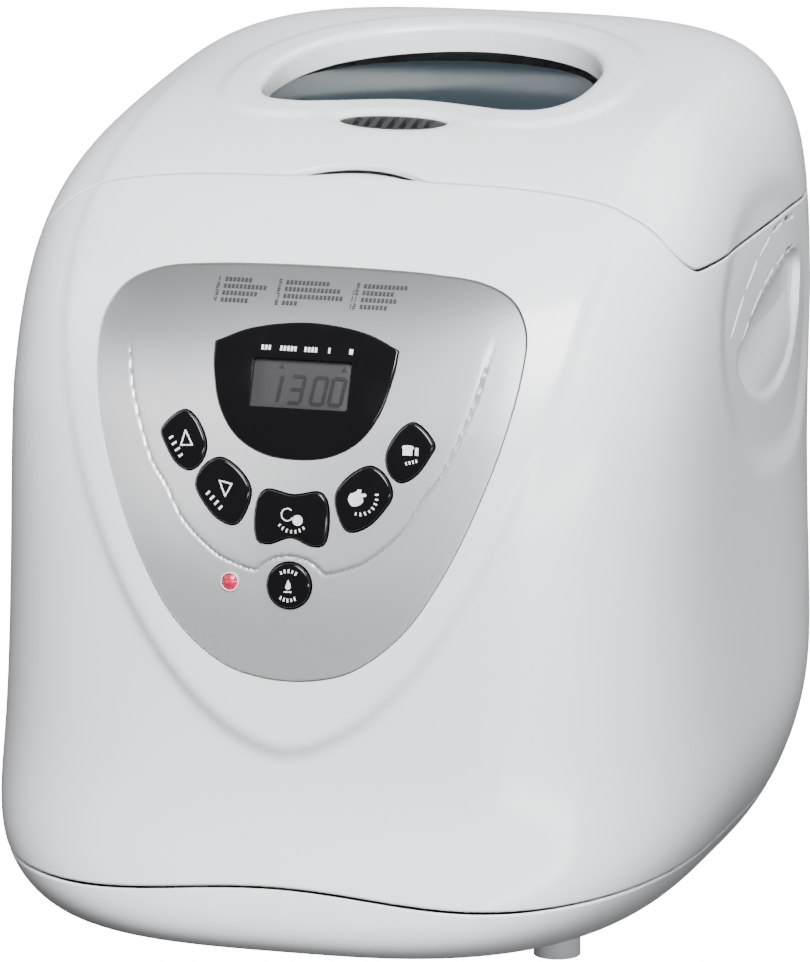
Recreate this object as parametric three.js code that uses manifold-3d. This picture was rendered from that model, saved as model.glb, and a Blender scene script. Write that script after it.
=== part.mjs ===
// Bread machine with a rounded plastic body, a shield-shaped control panel on the front, a hinged
// lid with a viewing window, and the pan, paddle, heater, belt drive and electronics inside.
// Millimetres, +Z up, front faces -Y, origin at the bottom centre, on the plane of the feet.
import * as THREE from 'three';
import { mergeVertices } from 'three/addons/utils/BufferGeometryUtils.js';
import { NURBSCurve } from 'three/addons/curves/NURBSCurve.js';
import Module from 'manifold-3d';

const wasm = await Module();
wasm.setup();

// ---- driving dimensions -------------------------------------------------------------------
const BODY_WIDTH = 268;
const BODY_DEPTH = 328;
const BODY_HEIGHT = 313;
const FOOT_HEIGHT = 9;
const FOOT_RADIUS = 8.5;
const FOOT_X = BODY_WIDTH / 2 - 50;
const FOOT_Y = BODY_DEPTH / 2 - 74;
const SHELL_WALL = 2.6;
const GAP = 0.4;                 // clearance between pieces that touch on the real object
const BASE_SEAM_HEIGHT = 32.5;   // mean height of the joint between base tray and housing
const BASE_SEAM_WAVE = 2.6;      // the joint rises by this much in the middle and dips beside it
const BASE_SEAM_PITCH = 82;
const LID_FRONT_Y = 99.7 - BODY_DEPTH / 2;      // front edge of the lid
const LID_SIDE_HEIGHT = BODY_HEIGHT - 67;       // lower edge of the lid along the sides, at its front corner
const LID_SIDE_SLOPE = 0.045;    // that edge rises gently to the back
const LID_CORNER = 13;
const LID_GAP = 0.8;
const NOTCH_HALF_WIDTH = 26;     // finger notch in the lid's front edge
const NOTCH_DEPTH = 8;
const HINGE_Z = LID_SIDE_HEIGHT + 7;
const HINGE_X = 72;
const HINGE_PIN_RADIUS = 2;
const KNUCKLE_RADIUS = 4.2;
const KNUCKLE_LENGTH = 11;
const WINDOW_HALF_WIDTH = 62;
const CHAMBER_Y = BODY_DEPTH / 2 - 114;        // centre of the pan, the chamber and the drive
const WINDOW_FRONT_Y = CHAMBER_Y - 56;
const WINDOW_BACK_Y = CHAMBER_Y + 40;
const WINDOW_DROP = 5;           // the glass lies this far below the lid's surface
const GLASS_THICKNESS = 3;
const VENT_HALF_LENGTH = 20.5;
const VENT_HALF_WIDTH = 6.5;
const VENT_Y = WINDOW_FRONT_Y - 14.5;
const VENT_SLOTS = 7;
const BUTTON_RISE = 1.0;
const START_RADIUS = 8;
const LED_RADIUS = 2.8;
const LENS_THICKNESS = 2.2;
const LCD_WIDTH = 46;
const LCD_HEIGHT = 27;
const PAN_HALF_X = 80;
const PAN_HALF_Y = 60;
const HEATER_SPACE = 15;         // between the pan and the chamber's wall, all round
const CHAMBER_HALF_X = PAN_HALF_X + HEATER_SPACE;
const CHAMBER_HALF_Y = PAN_HALF_Y + HEATER_SPACE;
const CHAMBER_WALL = 1.2;
const CHAMBER_FLOOR = 62;
const DECK_TOP = LID_SIDE_HEIGHT - 5;
const PAN_WALL = 1.5;
const PAN_FLOOR = CHAMBER_FLOOR + 22;
const PAN_RIM = DECK_TOP - 36;
const HANDLE_REACH = 57;
const HANDLE_ROD = 2.2;
const HANDLE_PIVOT_RISE = 8;
const SHAFT_RADIUS = 4;
const SHAFT_CLEARANCE = 0.3;
const PADDLE_REACH = 44;
const HEATER_ROD = 3.2;
const BIG_PULLEY_RADIUS = 42;
const SMALL_PULLEY_RADIUS = 9;
const PULLEY_FLOOR = 21;
const PULLEY_WIDTH = 9;
const BELT_THICKNESS = 2.2;
const MOTOR_Y = CHAMBER_Y - CHAMBER_HALF_Y - 59;
const MOTOR_RADIUS = 33;
const MOTOR_HEIGHT = 74;
const SCREW_RADIUS = 3.4;

// ---- the outer form -----------------------------------------------------------------------
// Hoops from the base to the crown: front y and z, back y and z, half width. They are the control
// hoops of one smooth surface whose cross-sections are rounded rectangles.
const HOOPS = [
  [-150, 9, 125, 9, 95],
  [-168, 9, 152, 9, 112],
  [-175, 23, 158, 62, 136],
  [-154, 59, 158, 102, 133],
  [-150, 142, 153, 172, 129],
  [-133, 233, 146, 254, 132],
  [-77, 279, 143, 309, 122],
  [-6, 298, 111, 319, 83],
  [50, 300, 50, 300, 0.5],
];
const FORM = { width: 267.5, depth: 327.9, bottom: 9, height: 304, middle: -6.2 };
const SQUARENESS = [[0, 3], [0.6, 4.2], [1, 3.4]];   // exponent of the cross-sections along the form
const KNOTS = [0, 0, 0, 0, 1, 2, 3, 4, 5, 6, 6, 6, 6];

function rail(yColumn, zColumn) {
  const controls = HOOPS.map((hoop) => new THREE.Vector4(
    hoop[4] * BODY_WIDTH / FORM.width,
    (hoop[yColumn] - FORM.middle) * BODY_DEPTH / FORM.depth,
    FOOT_HEIGHT + (hoop[zColumn] - FORM.bottom) * (BODY_HEIGHT - FOOT_HEIGHT) / FORM.height,
    1));
  return new NURBSCurve(3, KNOTS, controls);
}
const FRONT_RAIL = rail(0, 1);
const BACK_RAIL = rail(2, 3);
const railCache = new Map();

function railPoints(t) {
  const key = Math.round(t * 1e6);
  if (!railCache.has(key)) railCache.set(key, [FRONT_RAIL.getPoint(t), BACK_RAIL.getPoint(t)]);
  return railCache.get(key);
}

function squareness(t) {
  const [low, middle, high] = SQUARENESS;
  const [from, to] = t < middle[0] ? [low, middle] : [middle, high];
  return THREE.MathUtils.mapLinear(t, from[0], to[0], from[1], to[1]);
}

// A point of the outer form: t runs from the base (0) to the crown (1), angle goes round it with
// -90 degrees at the front. `across` is -1..1 over the width and `along` -1..1 from front to back.
function formAt(t, across, along) {
  const [front, back] = railPoints(t);
  return new THREE.Vector3(
    front.x * across,
    (front.y + back.y) / 2 + (back.y - front.y) / 2 * along,
    (front.z + back.z) / 2 + (back.z - front.z) / 2 * along);
}

function formPoint(t, angle) {
  const power = squareness(t);
  const c = Math.cos(angle);
  const s = Math.sin(angle);
  const reach = (Math.abs(c) ** power + Math.abs(s) ** power) ** (1 / power);
  return formAt(t, c / reach, s / reach);
}

function formNormal(t, angle) {
  const step = 0.004;
  const low = Math.max(t - step, 0);
  const high = Math.min(t + step, 0.999);
  const up = formPoint(high, angle).sub(formPoint(low, angle));
  const round = formPoint(Math.min(t, 0.995), angle + step).sub(formPoint(Math.min(t, 0.995), angle - step));
  return round.cross(up).normalize();
}

function insidePoint(t, angle, depth) {
  return formPoint(t, angle).addScaledVector(formNormal(t, angle), -depth);
}

// The front face in its own coordinates: x across, and s measured up the centre line, counted so
// that s is FACE_DATUM at the height z = FACE_DATUM_Z.
const FACE_DATUM = 153;
const FACE_DATUM_Z = LID_SIDE_HEIGHT - 96;
const FACE_TABLE = [];
for (let i = 0, s = 0, last = null; i <= 400; i++) {
  const t = i / 400 * 0.99;
  const point = FRONT_RAIL.getPoint(t);
  if (last) s += Math.hypot(point.y - last.y, point.z - last.z);
  FACE_TABLE.push([s, t, point.z]);
  last = point;
}
const DATUM_SHIFT = FACE_DATUM - FACE_TABLE.find((row) => row[2] >= FACE_DATUM_Z)[0];
FACE_TABLE.forEach((row) => { row[0] += DATUM_SHIFT; });

function faceT(s) {
  const index = Math.max(1, FACE_TABLE.findIndex((row) => row[0] >= s));
  const [s0, t0] = FACE_TABLE[index - 1];
  const [s1, t1] = FACE_TABLE[index];
  return t0 + (t1 - t0) * (s - s0) / (s1 - s0);
}

function faceSurface(x, s) {
  const t = faceT(s);
  const power = squareness(t);
  const across = Math.min(Math.abs(x) / railPoints(t)[0].x, 0.999);
  return formAt(t, Math.sign(x) * across, -((1 - across ** power) ** (1 / power)));
}

function faceNormal(x, s) {
  const up = faceSurface(x, s + 0.8).sub(faceSurface(x, s - 0.8));
  const right = faceSurface(x + 0.8, s).sub(faceSurface(x - 0.8, s));
  return right.cross(up).normalize();
}

const facePoint = (x, s, depth) => faceSurface(x, s).addScaledVector(faceNormal(x, s), -depth);

// ---- meshes and solids --------------------------------------------------------------------
function geometryFrom(positions, indices) {
  const geometry = new THREE.BufferGeometry();
  geometry.setAttribute('position', new THREE.BufferAttribute(Float32Array.from(positions), 3));
  geometry.setIndex(indices);
  return outward(geometry);
}

// Turns every face round when the mesh is inside out.
function outward(geometry) {
  const p = geometry.attributes.position;
  const index = geometry.index.array;
  const corners = [new THREE.Vector3(), new THREE.Vector3(), new THREE.Vector3()];
  let volume = 0;
  for (let i = 0; i < index.length; i += 3) {
    corners.forEach((corner, k) => corner.fromBufferAttribute(p, index[i + k]));
    volume += corners[0].dot(corners[1].clone().cross(corners[2]));
  }
  if (volume < 0) for (let i = 0; i < index.length; i += 3) [index[i], index[i + 1]] = [index[i + 1], index[i]];
  return geometry;
}

function welded(geometry) {
  const bare = geometry.clone();
  ['normal', 'uv'].forEach((name) => bare.deleteAttribute(name));
  if (!bare.index) bare.setIndex([...Array(bare.attributes.position.count).keys()]);
  return mergeVertices(bare, 1e-4);
}

function solid(geometry) {
  const mesh = welded(geometry);
  return new wasm.Manifold(new wasm.Mesh({
    numProp: 3,
    vertProperties: Float32Array.from(mesh.attributes.position.array),
    triVerts: Uint32Array.from(mesh.index.array),
  }));
}

function geometryOf(manifold) {
  const mesh = manifold.getMesh();
  return geometryFrom([...mesh.vertProperties], [...mesh.triVerts]);
}

// Rings of points, joined in order into a closed skin. A first or last ring is closed by a flat
// fan when its end is 'fan', and the skin runs back to its start when it is 'loop'.
function skin(rings, ends) {
  const count = rings[0].length;
  const positions = rings.flat().flatMap((point) => [point.x, point.y, point.z]);
  const indices = [];
  const joins = ends === 'loop' ? rings.length : rings.length - 1;
  for (let r = 0; r < joins; r++) {
    const low = r * count;
    const high = ((r + 1) % rings.length) * count;
    for (let i = 0; i < count; i++) {
      const j = (i + 1) % count;
      indices.push(low + i, low + j, high + j, low + i, high + j, high + i);
    }
  }
  if (ends === 'fan') {
    for (const [ring, flip] of [[0, true], [rings.length - 1, false]]) {
      const middle = new THREE.Vector3();
      rings[ring].forEach((point) => middle.addScaledVector(point, 1 / count));
      const hub = positions.length / 3;
      positions.push(middle.x, middle.y, middle.z);
      for (let i = 0; i < count; i++) {
        const a = ring * count + i;
        const b = ring * count + (i + 1) % count;
        indices.push(...(flip ? [hub, b, a] : [hub, a, b]));
      }
    }
  }
  return geometryFrom(positions, indices);
}

const ringAngles = (count) => [...Array(count).keys()].map((i) => i / count * 2 * Math.PI);
const SHELL_ANGLES = ringAngles(44);

// A band of the outer form with a wall: `low` and `high` give the form's t at each angle.
function formBand(low, high, rows, wall) {
  const ring = (share, depth) => SHELL_ANGLES.map((angle) => insidePoint(
    THREE.MathUtils.lerp(low(angle), high(angle), share), angle, depth));
  const shares = [...Array(rows + 1).keys()].map((i) => i / rows);
  const outside = shares.map((share) => ring(share, 0));
  const inside = shares.reverse().map((share) => ring(share, wall));
  return skin([...outside, ...inside], 'loop');
}

// The whole form shrunk by `depth`, as one body to cut flat pieces to the inside of the shells.
function formCore(depth) {
  const levels = [...Array(26).keys()].map((i) => i / 25 * 0.985);
  return solid(skin(levels.map((t) => SHELL_ANGLES.map((angle) => insidePoint(t, angle, depth))), 'fan'));
}

// A plate laid on a curved place: `place(u, v, depth)` turns the flat outline into the surface.
function plate(outline, place, top, bottom, rings = 3) {
  const centre = outline.reduce((sum, p) => sum.add(p), new THREE.Vector2()).divideScalar(outline.length);
  const at = (share, depth) => outline.map((p) => {
    const q = centre.clone().lerp(p, share);
    return place(q.x, q.y, depth);
  });
  const shares = [...Array(rings).keys()].map((i) => (i + 0.4) / (rings - 0.6));
  const over = shares.map((share) => at(share, top));
  const under = shares.map((share) => at(share, bottom)).reverse();
  return skin([...over, ...under], 'fan');
}

function spline(points, count) {
  const places = points.map(([x, y]) => new THREE.Vector3(x, y, 0));
  const curve = new THREE.CatmullRomCurve3(places, true, 'centripetal');
  return curve.getSpacedPoints(count).slice(0, count).map((p) => new THREE.Vector2(p.x, p.y));
}

// A half outline from top to bottom on the right, closed by its mirror image.
function mirrored(half) {
  const left = half.filter(([x]) => x > 0.01).map(([x, y]) => [-x, y]).reverse();
  return [...half, ...left];
}

function grown(outline, distance) {
  const count = outline.length;
  const turn = Math.sign(THREE.ShapeUtils.area(outline));
  return outline.map((p, i) => {
    const along = outline[(i + 1) % count].clone().sub(outline[(i + count - 1) % count]).normalize();
    return new THREE.Vector2(p.x + along.y * distance * turn, p.y - along.x * distance * turn);
  });
}

function roundedBox(halfX, halfY, power, count) {
  return ringAngles(count).map((angle) => {
    const c = Math.cos(angle);
    const s = Math.sin(angle);
    const reach = (Math.abs(c) ** power + Math.abs(s) ** power) ** (1 / power);
    return new THREE.Vector2(halfX * c / reach, halfY * s / reach);
  });
}

function prism(outline, low, high, x = 0, y = 0) {
  const shape = new THREE.Shape(outline);
  const geometry = new THREE.ExtrudeGeometry(shape, { depth: high - low, bevelEnabled: false });
  return geometry.translate(x, y, low);
}

function box(x0, x1, y0, y1, z0, z1) {
  return new THREE.BoxGeometry(x1 - x0, y1 - y0, z1 - z0)
    .translate((x0 + x1) / 2, (y0 + y1) / 2, (z0 + z1) / 2);
}

function rod(radius, low, high, x = 0, y = 0, sides = 24) {
  return new THREE.CylinderGeometry(radius, radius, high - low, sides)
    .rotateX(Math.PI / 2).translate(x, y, (low + high) / 2);
}

function crossRod(radius, x0, x1, y, z, sides = 16) {
  return new THREE.CylinderGeometry(radius, radius, x1 - x0, sides)
    .rotateZ(Math.PI / 2).translate((x0 + x1) / 2, y, z);
}

// A turned piece: profile points are [radius, height], closed on themselves or on the axis.
function turned(profile, x = 0, y = 0, sides = 28) {
  const points = profile.map(([r, z]) => new THREE.Vector2(r, z));
  const geometry = new THREE.LatheGeometry([...points, points[0]], sides);
  return outward(welded(geometry.rotateX(Math.PI / 2))).translate(x, y, 0);
}

const cut = (body, ...cutters) => cutters.reduce((rest, cutter) => rest.subtract(cutter), body);
const join = (...bodies) => bodies.reduce((sum, body) => sum.add(body));

// ---- the scene graph ----------------------------------------------------------------------
const MATERIALS = {
  housing: { color: 0xe4e6e8, roughness: 0.25, metalness: 0 },
  panel: { color: 0xb4b7ba, roughness: 0.35, metalness: 0.4 },
  black: { color: 0x101012, roughness: 0.12, metalness: 0 },
  lcd: { color: 0x6a6b6e, roughness: 0.4, metalness: 0 },
  led: { color: 0xc2446a, roughness: 0.2, metalness: 0 },
  rubber: { color: 0xb9bbbd, roughness: 0.8, metalness: 0 },
  grey: { color: 0x7b8080, roughness: 0.4, metalness: 0 },
  glass: { color: 0x8fa0aa, roughness: 0.05, metalness: 0 },
  sheet: { color: 0xb8babc, roughness: 0.35, metalness: 0.9 },
  pan: { color: 0x3d3f42, roughness: 0.45, metalness: 0.5 },
  steel: { color: 0xc8cacc, roughness: 0.25, metalness: 1 },
  cast: { color: 0xa6a8aa, roughness: 0.5, metalness: 0.8 },
  brass: { color: 0xb99b5a, roughness: 0.35, metalness: 1 },
  board: { color: 0x2f6b3f, roughness: 0.6, metalness: 0 },
  nylon: { color: 0xd8d4c8, roughness: 0.6, metalness: 0 },
  dark: { color: 0x2a2b2d, roughness: 0.6, metalness: 0 },
};
const breadMachine = new THREE.Group();

function add(name, finish, geometry) {
  const mesh = new THREE.Mesh(geometry, new THREE.MeshStandardMaterial(MATERIALS[finish]));
  mesh.name = name;
  breadMachine.add(mesh);
  return mesh;
}

// ---- seams of the shells ------------------------------------------------------------------
const LID_CORNER_Y = LID_FRONT_Y + LID_CORNER;

function lidSideHeight(y) {
  return LID_SIDE_HEIGHT + LID_SIDE_SLOPE * (y - LID_CORNER_Y);
}

// Positive inside the lid: behind its front edge and above its side edge, with a round corner.
function insideLid(point) {
  const notch = Math.max(0, 1 - (point.x / NOTCH_HALF_WIDTH) ** 2) * NOTCH_DEPTH;
  const behind = point.y - (LID_FRONT_Y + notch) - LID_CORNER;
  const above = point.z - lidSideHeight(point.y) - LID_CORNER;
  if (behind < 0 && above < 0) return LID_CORNER - Math.hypot(behind, above);
  return Math.min(behind, above) + LID_CORNER;
}

function baseSeamHeight(point) {
  return BASE_SEAM_HEIGHT + BASE_SEAM_WAVE * Math.cos(Math.PI * point.x / BASE_SEAM_PITCH);
}

// Window outline in plan: a wide oval whose front edge swings in around the steam vent.
function windowOutline(count, inset = 0) {
  const half = [
    [0, WINDOW_BACK_Y],
    [WINDOW_HALF_WIDTH * 0.5, WINDOW_BACK_Y - 7],
    [WINDOW_HALF_WIDTH * 0.8, WINDOW_BACK_Y - 22],
    [WINDOW_HALF_WIDTH * 0.97, WINDOW_BACK_Y - 44],
    [WINDOW_HALF_WIDTH, WINDOW_BACK_Y - 62],
    [WINDOW_HALF_WIDTH * 0.96, WINDOW_FRONT_Y + 12],
    [WINDOW_HALF_WIDTH * 0.84, WINDOW_FRONT_Y + 1],
    [WINDOW_HALF_WIDTH * 0.66, WINDOW_FRONT_Y - 1],
    [WINDOW_HALF_WIDTH * 0.4, WINDOW_FRONT_Y + 5],
    [0, WINDOW_FRONT_Y + 9],
  ];
  return grown(spline(mirrored(half), count), -inset);
}

const WINDOW_SHAPE = windowOutline(120);

// Positive inside the window, seen from above.
function insideWindow(point, inset) {
  let nearest = Infinity;
  let inside = false;
  for (let i = 0, j = WINDOW_SHAPE.length - 1; i < WINDOW_SHAPE.length; j = i++) {
    const a = WINDOW_SHAPE[i];
    const b = WINDOW_SHAPE[j];
    const crosses = (a.y > point.y) !== (b.y > point.y)
      && point.x < (b.x - a.x) * (point.y - a.y) / (b.y - a.y) + a.x;
    if (crosses) inside = !inside;
    const segment = b.clone().sub(a);
    const share = THREE.MathUtils.clamp(
      new THREE.Vector2(point.x, point.y).sub(a).dot(segment) / segment.lengthSq(), 0, 1);
    nearest = Math.min(nearest, a.clone().addScaledVector(segment, share).distanceTo(point));
  }
  return (inside ? nearest : -nearest) - inset;
}

// The t at which `value` of the outer form changes sign, at one angle.
function crossing(value, angle, low, high) {
  let [from, to] = [low, high];
  for (let i = 0; i < 30; i++) {
    const middle = (from + to) / 2;
    if (value(formPoint(middle, angle)) < 0) from = middle;
    else to = middle;
  }
  return (from + to) / 2;
}

const tBetween = (value, low, high) => (angle) => crossing(value, angle, low, high);
const baseSeam = (offset) => tBetween((p) => p.z - baseSeamHeight(p) - offset, 0.05, 0.5);
const lidSeam = (offset) => tBetween((p) => insideLid(p) - offset, 0.4, 0.93);
const windowEdge = (inset) => tBetween((p) => insideWindow(p, inset), 0.86, 1);

// ---- outlines on the front face (x across, s up the face) -----------------------------------
const SHIELD = spline(mirrored([
  [0, 261], [22, 260.7], [42, 259.6], [60, 256.6], [72, 249.5], [78.6, 237], [79, 220], [75, 198],
  [68, 176], [57, 151], [42.5, 129], [24, 114.5], [8, 110.2],
]), 36);
const LENS = [
  ...new THREE.CatmullRomCurve3([[-34.2, 229.2], [-20, 235.2], [0, 237.8], [20, 235.2], [34.2, 229.2]]
    .map(([x, y]) => new THREE.Vector3(x, y, 0))).getPoints(6).slice(0, 6),
  ...new THREE.CatmullRomCurve3([[34.2, 229.2], [33.4, 220], [30, 206.5], [23, 196], [12.5, 190], [0, 188.4],
    [-12.5, 190], [-23, 196], [-30, 206.5], [-33.4, 220], [-34.2, 229.2]]
    .map(([x, y]) => new THREE.Vector3(x, y, 0))).getPoints(16).slice(0, 16),
].map((p) => new THREE.Vector2(p.x, p.y));
const START_CENTRE = [0, 143.7];
const LED_CENTRE = [-22.3, 143.7];
const LCD_CENTRE = [-0.5, 215.5];
const OUTER_BUTTON = [
  [-8.5, 2.7], [-0.6, 10.2], [4.1, 7.4], [8.5, -1.4], [7, -7.6], [3, -10.6], [-2, -8.4], [-7, -1.2],
];
const INNER_BUTTON = [
  [-9.9, 2], [-7.3, 8.2], [-1.8, 11.5], [4.8, 8.6], [10.4, 1.4], [9.3, -5.8], [5.4, -11.4], [-1, -9.7], [-7, -3.6],
];
const CENTRE_BUTTON = [
  [-10, 9.4], [0, 8], [10, 9.4], [12.6, 6.4], [13.5, -3.2], [12, -8.6], [8, -9.2], [0, -6.6], [-8, -9.2],
  [-12, -8.6], [-13.5, -3.2], [-12.6, 6.4],
];
const mirrorX = (points) => points.map(([x, y]) => [-x, y]).reverse();
const circle = (radius, count = 14) => ringAngles(count)
  .map((a) => [radius * Math.cos(a), radius * Math.sin(a)]);
const BUTTONS = [
  { name: 'time_up_button', centre: [-42.2, 193.3], outline: OUTER_BUTTON },
  { name: 'time_down_button', centre: [-26.5, 175.8], outline: INNER_BUTTON },
  { name: 'loaf_size_button', centre: [0, 167.6], outline: CENTRE_BUTTON },
  { name: 'menu_button', centre: [26.5, 175.8], outline: mirrorX(INNER_BUTTON) },
  { name: 'crust_button', centre: [42.2, 193.3], outline: mirrorX(OUTER_BUTTON) },
  { name: 'start_stop_button', centre: START_CENTRE, outline: circle(START_RADIUS) },
];

// A straight-sided plug on the face, from `rise` above it to `depth` below, along one direction.
function plug(outline, centre, rise, depth) {
  const normal = faceNormal(...centre);
  const place = (x, s, offset) => faceSurface(x, s).addScaledVector(normal, -offset);
  const shifted = outline.map((p) => new THREE.Vector2(p.x + centre[0], p.y + centre[1]));
  return plate(shifted, place, -rise, depth, 1);
}

const buttonOutline = (button, margin) => grown(spline(button.outline, 14), margin);

// ---- outside pieces -------------------------------------------------------------------------
function baseTray() {
  const low = () => 0;
  const high = baseSeam(-LID_GAP / 2);
  const ring = (share, depth) => SHELL_ANGLES.map((angle) => insidePoint(
    THREE.MathUtils.lerp(low(angle), high(angle), share), angle, depth));
  const shares = [0, 0.2, 0.45, 0.7, 1];
  const rings = [...shares.map((s) => ring(s, 0)), ...[...shares].reverse().map((s) => ring(s, SHELL_WALL))];
  return solid(skin(rings, 'fan'));
}

function feet() {
  const places = { front_left: [-1, -1], front_right: [1, -1], rear_left: [-1, 1], rear_right: [1, 1] };
  for (const [name, [sx, sy]] of Object.entries(places)) {
    const profile = [[0, 0], [FOOT_RADIUS - 1.2, 0], [FOOT_RADIUS, 1.4], [FOOT_RADIUS, FOOT_HEIGHT - 0.3],
      [0, FOOT_HEIGHT - 0.3]];
    add(`foot_${name}`, 'rubber', turned(profile, sx * FOOT_X, sy * FOOT_Y, 16));
  }
}

// Side louvres: rows of slots that arch over the grip recess, drawn as y along the side and height.
const SLOT_ROWS = [
  { ends: [[-24, -5], [-2, 15], [18, 33], [37, 51], [55, 69]],
    height: (y) => LID_SIDE_HEIGHT + 2 - 0.0047 * (58 - y) ** 2 },
  { ends: [[-12, 1], [4, 20], [23, 36], [40, 51], [54, 68]],
    height: (y) => LID_SIDE_HEIGHT - 9.5 - 0.0045 * (64 - y) ** 2 },
];
const SLOT_HEIGHT = 2.6;

function sideSlots() {
  const slots = [];
  for (const { ends, height } of SLOT_ROWS) {
    for (const [from, to] of ends) {
      const outline = [];
      for (const share of [0, 0.5, 1]) outline.push([from + (to - from) * share, 1]);
      for (const share of [1, 0.5, 0]) outline.push([from + (to - from) * share, -1]);
      const shape = outline.map(([y, side]) => new THREE.Vector2(y, height(y) + side * SLOT_HEIGHT / 2));
      const bar = prism(shape, -BODY_WIDTH, BODY_WIDTH);
      slots.push(solid(bar.applyMatrix4(new THREE.Matrix4().set(
        0, 0, 1, 0,
        1, 0, 0, 0,
        0, 1, 0, 0,
        0, 0, 0, 1))));
    }
  }
  return slots;
}

// Depth of the outer form at the back, at one place across and one height.
function rearY(x, height) {
  const at = (angle) => formPoint(crossing((p) => p.z - height, angle, 0.1, 0.8), angle);
  let [corner, middle] = [Math.PI / 4, Math.PI / 2];
  for (let i = 0; i < 24; i++) {
    const angle = (corner + middle) / 2;
    if (at(angle).x > x) corner = angle;
    else middle = angle;
  }
  return at(middle).y;
}

const HINGE_Y = rearY(0, HINGE_Z);
const HINGE_NOTCH = KNUCKLE_LENGTH / 2 + 9;

function hingeNotches(reach) {
  return [-1, 1].map((side) => solid(box(
    side * HINGE_X - HINGE_NOTCH - reach, side * HINGE_X + HINGE_NOTCH + reach,
    HINGE_Y - 13, HINGE_Y + 13, HINGE_Z - 9 - reach, HINGE_Z + 7 + reach)));
}

const CORD_GLAND = { x: 48, z: 88, radius: 7 };
const CORD_GLAND_Y = rearY(CORD_GLAND.x, CORD_GLAND.z);

function housing() {
  const band = solid(formBand(baseSeam(LID_GAP / 2), lidSeam(-LID_GAP / 2), 9, SHELL_WALL));
  const aperture = solid(plate(grown(SHIELD, GAP), facePoint, -6, 12, 3));
  const gland = solid(new THREE.CylinderGeometry(CORD_GLAND.radius + GAP, CORD_GLAND.radius + GAP, 60, 20)
    .translate(CORD_GLAND.x, CORD_GLAND_Y, CORD_GLAND.z));
  return cut(band, aperture, gland, ...sideSlots(), ...hingeNotches(0));
}

const FLANGE_DEPTH = SHELL_WALL + 2.1;
const PANEL_BACK = FLANGE_DEPTH + 1.5;

function controlPanel() {
  const front = solid(plate(SHIELD, facePoint, 0, FLANGE_DEPTH + 1, 3));
  const flange = solid(plate(grown(SHIELD, 4), facePoint, FLANGE_DEPTH, PANEL_BACK, 3));
  const holes = BUTTONS.map((button) => solid(plug(buttonOutline(button, GAP), button.centre, 4, 12)));
  const lens = solid(plate(grown(LENS, GAP), facePoint, -4, 12, 3));
  const ledHole = circle(LED_RADIUS + GAP, 10).map(([x, y]) => new THREE.Vector2(x, y));
  const led = solid(plug(ledHole, LED_CENTRE, 4, 12));
  return cut(join(front, flange), ...holes, lens, led);
}

function panelPieces() {
  add('control_panel', 'panel', geometryOf(controlPanel()));
  add('display_lens', 'black', plate(LENS, facePoint, -0.2, LENS_THICKNESS, 3));
  for (const button of BUTTONS) {
    const stem = solid(plug(buttonOutline(button, 0), button.centre, BUTTON_RISE, PANEL_BACK + 2.2));
    const collarTop = -(PANEL_BACK + 0.7);
    const collar = solid(plug(buttonOutline(button, 0.65), button.centre, collarTop, PANEL_BACK + 2.2));
    add(button.name, 'black', geometryOf(join(stem, collar)));
  }
  const led = circle(LED_RADIUS, 10).map(([x, y]) => new THREE.Vector2(x, y));
  add('status_led', 'led', plug(led, LED_CENTRE, 0.6, PANEL_BACK + 2));
}

// A flat plate behind the face, square to it at the middle of its height.
function behindFace(width, sLow, sHigh, depth, thickness, x = 0) {
  const low = facePoint(x, sLow, depth);
  const high = facePoint(x, sHigh, depth);
  const geometry = new THREE.BoxGeometry(width, low.distanceTo(high), thickness);
  const lean = Math.atan2(high.z - low.z, high.y - low.y);
  return geometry.rotateX(lean).translate(x, (low.y + high.y) / 2, (low.z + high.z) / 2);
}

function electronics() {
  add('lcd_module', 'lcd', behindFace(LCD_WIDTH, LCD_CENTRE[1] - LCD_HEIGHT / 2, LCD_CENTRE[1] + LCD_HEIGHT / 2,
    LENS_THICKNESS + 3.4, 4, LCD_CENTRE[0]));
  add('control_board', 'board', behindFace(104, 136, 232, PANEL_BACK + 9.5, 1.6));
  const boardX = -64;
  add('power_board', 'board', box(boardX, boardX + 1.8, -112, -46, 44, 132));
  add('transformer', 'cast', box(boardX + 3, boardX + 24, -98, -66, 52, 84));
  add('run_capacitor', 'dark', rod(14, FOOT_HEIGHT + SHELL_WALL + 0.4, 64, 62, -84, 20));
}

// ---- lid ------------------------------------------------------------------------------------
function onLid(x, y, depth) {
  const angle = Math.atan2(y - formPoint(1, 0).y, x);
  const reach = Math.hypot(x, y - formPoint(1, 0).y);
  const t = crossing((p) => reach - Math.hypot(p.x, p.y - formPoint(1, 0).y), angle, 0.8, 1);
  return planPoint(x, y, t, depth);
}

// Follows the lid's surface over plan point (x, y); t is refined round the crown.
function planPoint(x, y, guess, depth) {
  let [t, angle] = [guess, Math.atan2(y - formPoint(1, 0).y, x)];
  for (let i = 0; i < 12; i++) {
    const p = formPoint(t, angle);
    const error = new THREE.Vector2(x - p.x, y - p.y);
    if (error.length() < 1e-3) break;
    const dt = formPoint(t - 1e-3, angle).sub(p).multiplyScalar(-1e3);
    const da = formPoint(t, angle + 1e-3).sub(p).multiplyScalar(1e3);
    const determinant = dt.x * da.y - da.x * dt.y;
    if (Math.abs(determinant) < 1e-6) break;
    t = THREE.MathUtils.clamp(t + (error.x * da.y - da.x * error.y) / determinant, 0.6, 0.9995);
    angle += (dt.x * error.y - error.x * dt.y) / determinant;
  }
  const point = formPoint(t, angle);
  return new THREE.Vector3(x, y, point.z - depth);
}

const ventOutline = (margin) => roundedBox(VENT_HALF_LENGTH + margin, VENT_HALF_WIDTH + margin, 2, 16)
  .map((p) => p.add(new THREE.Vector2(0, VENT_Y)));

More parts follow.
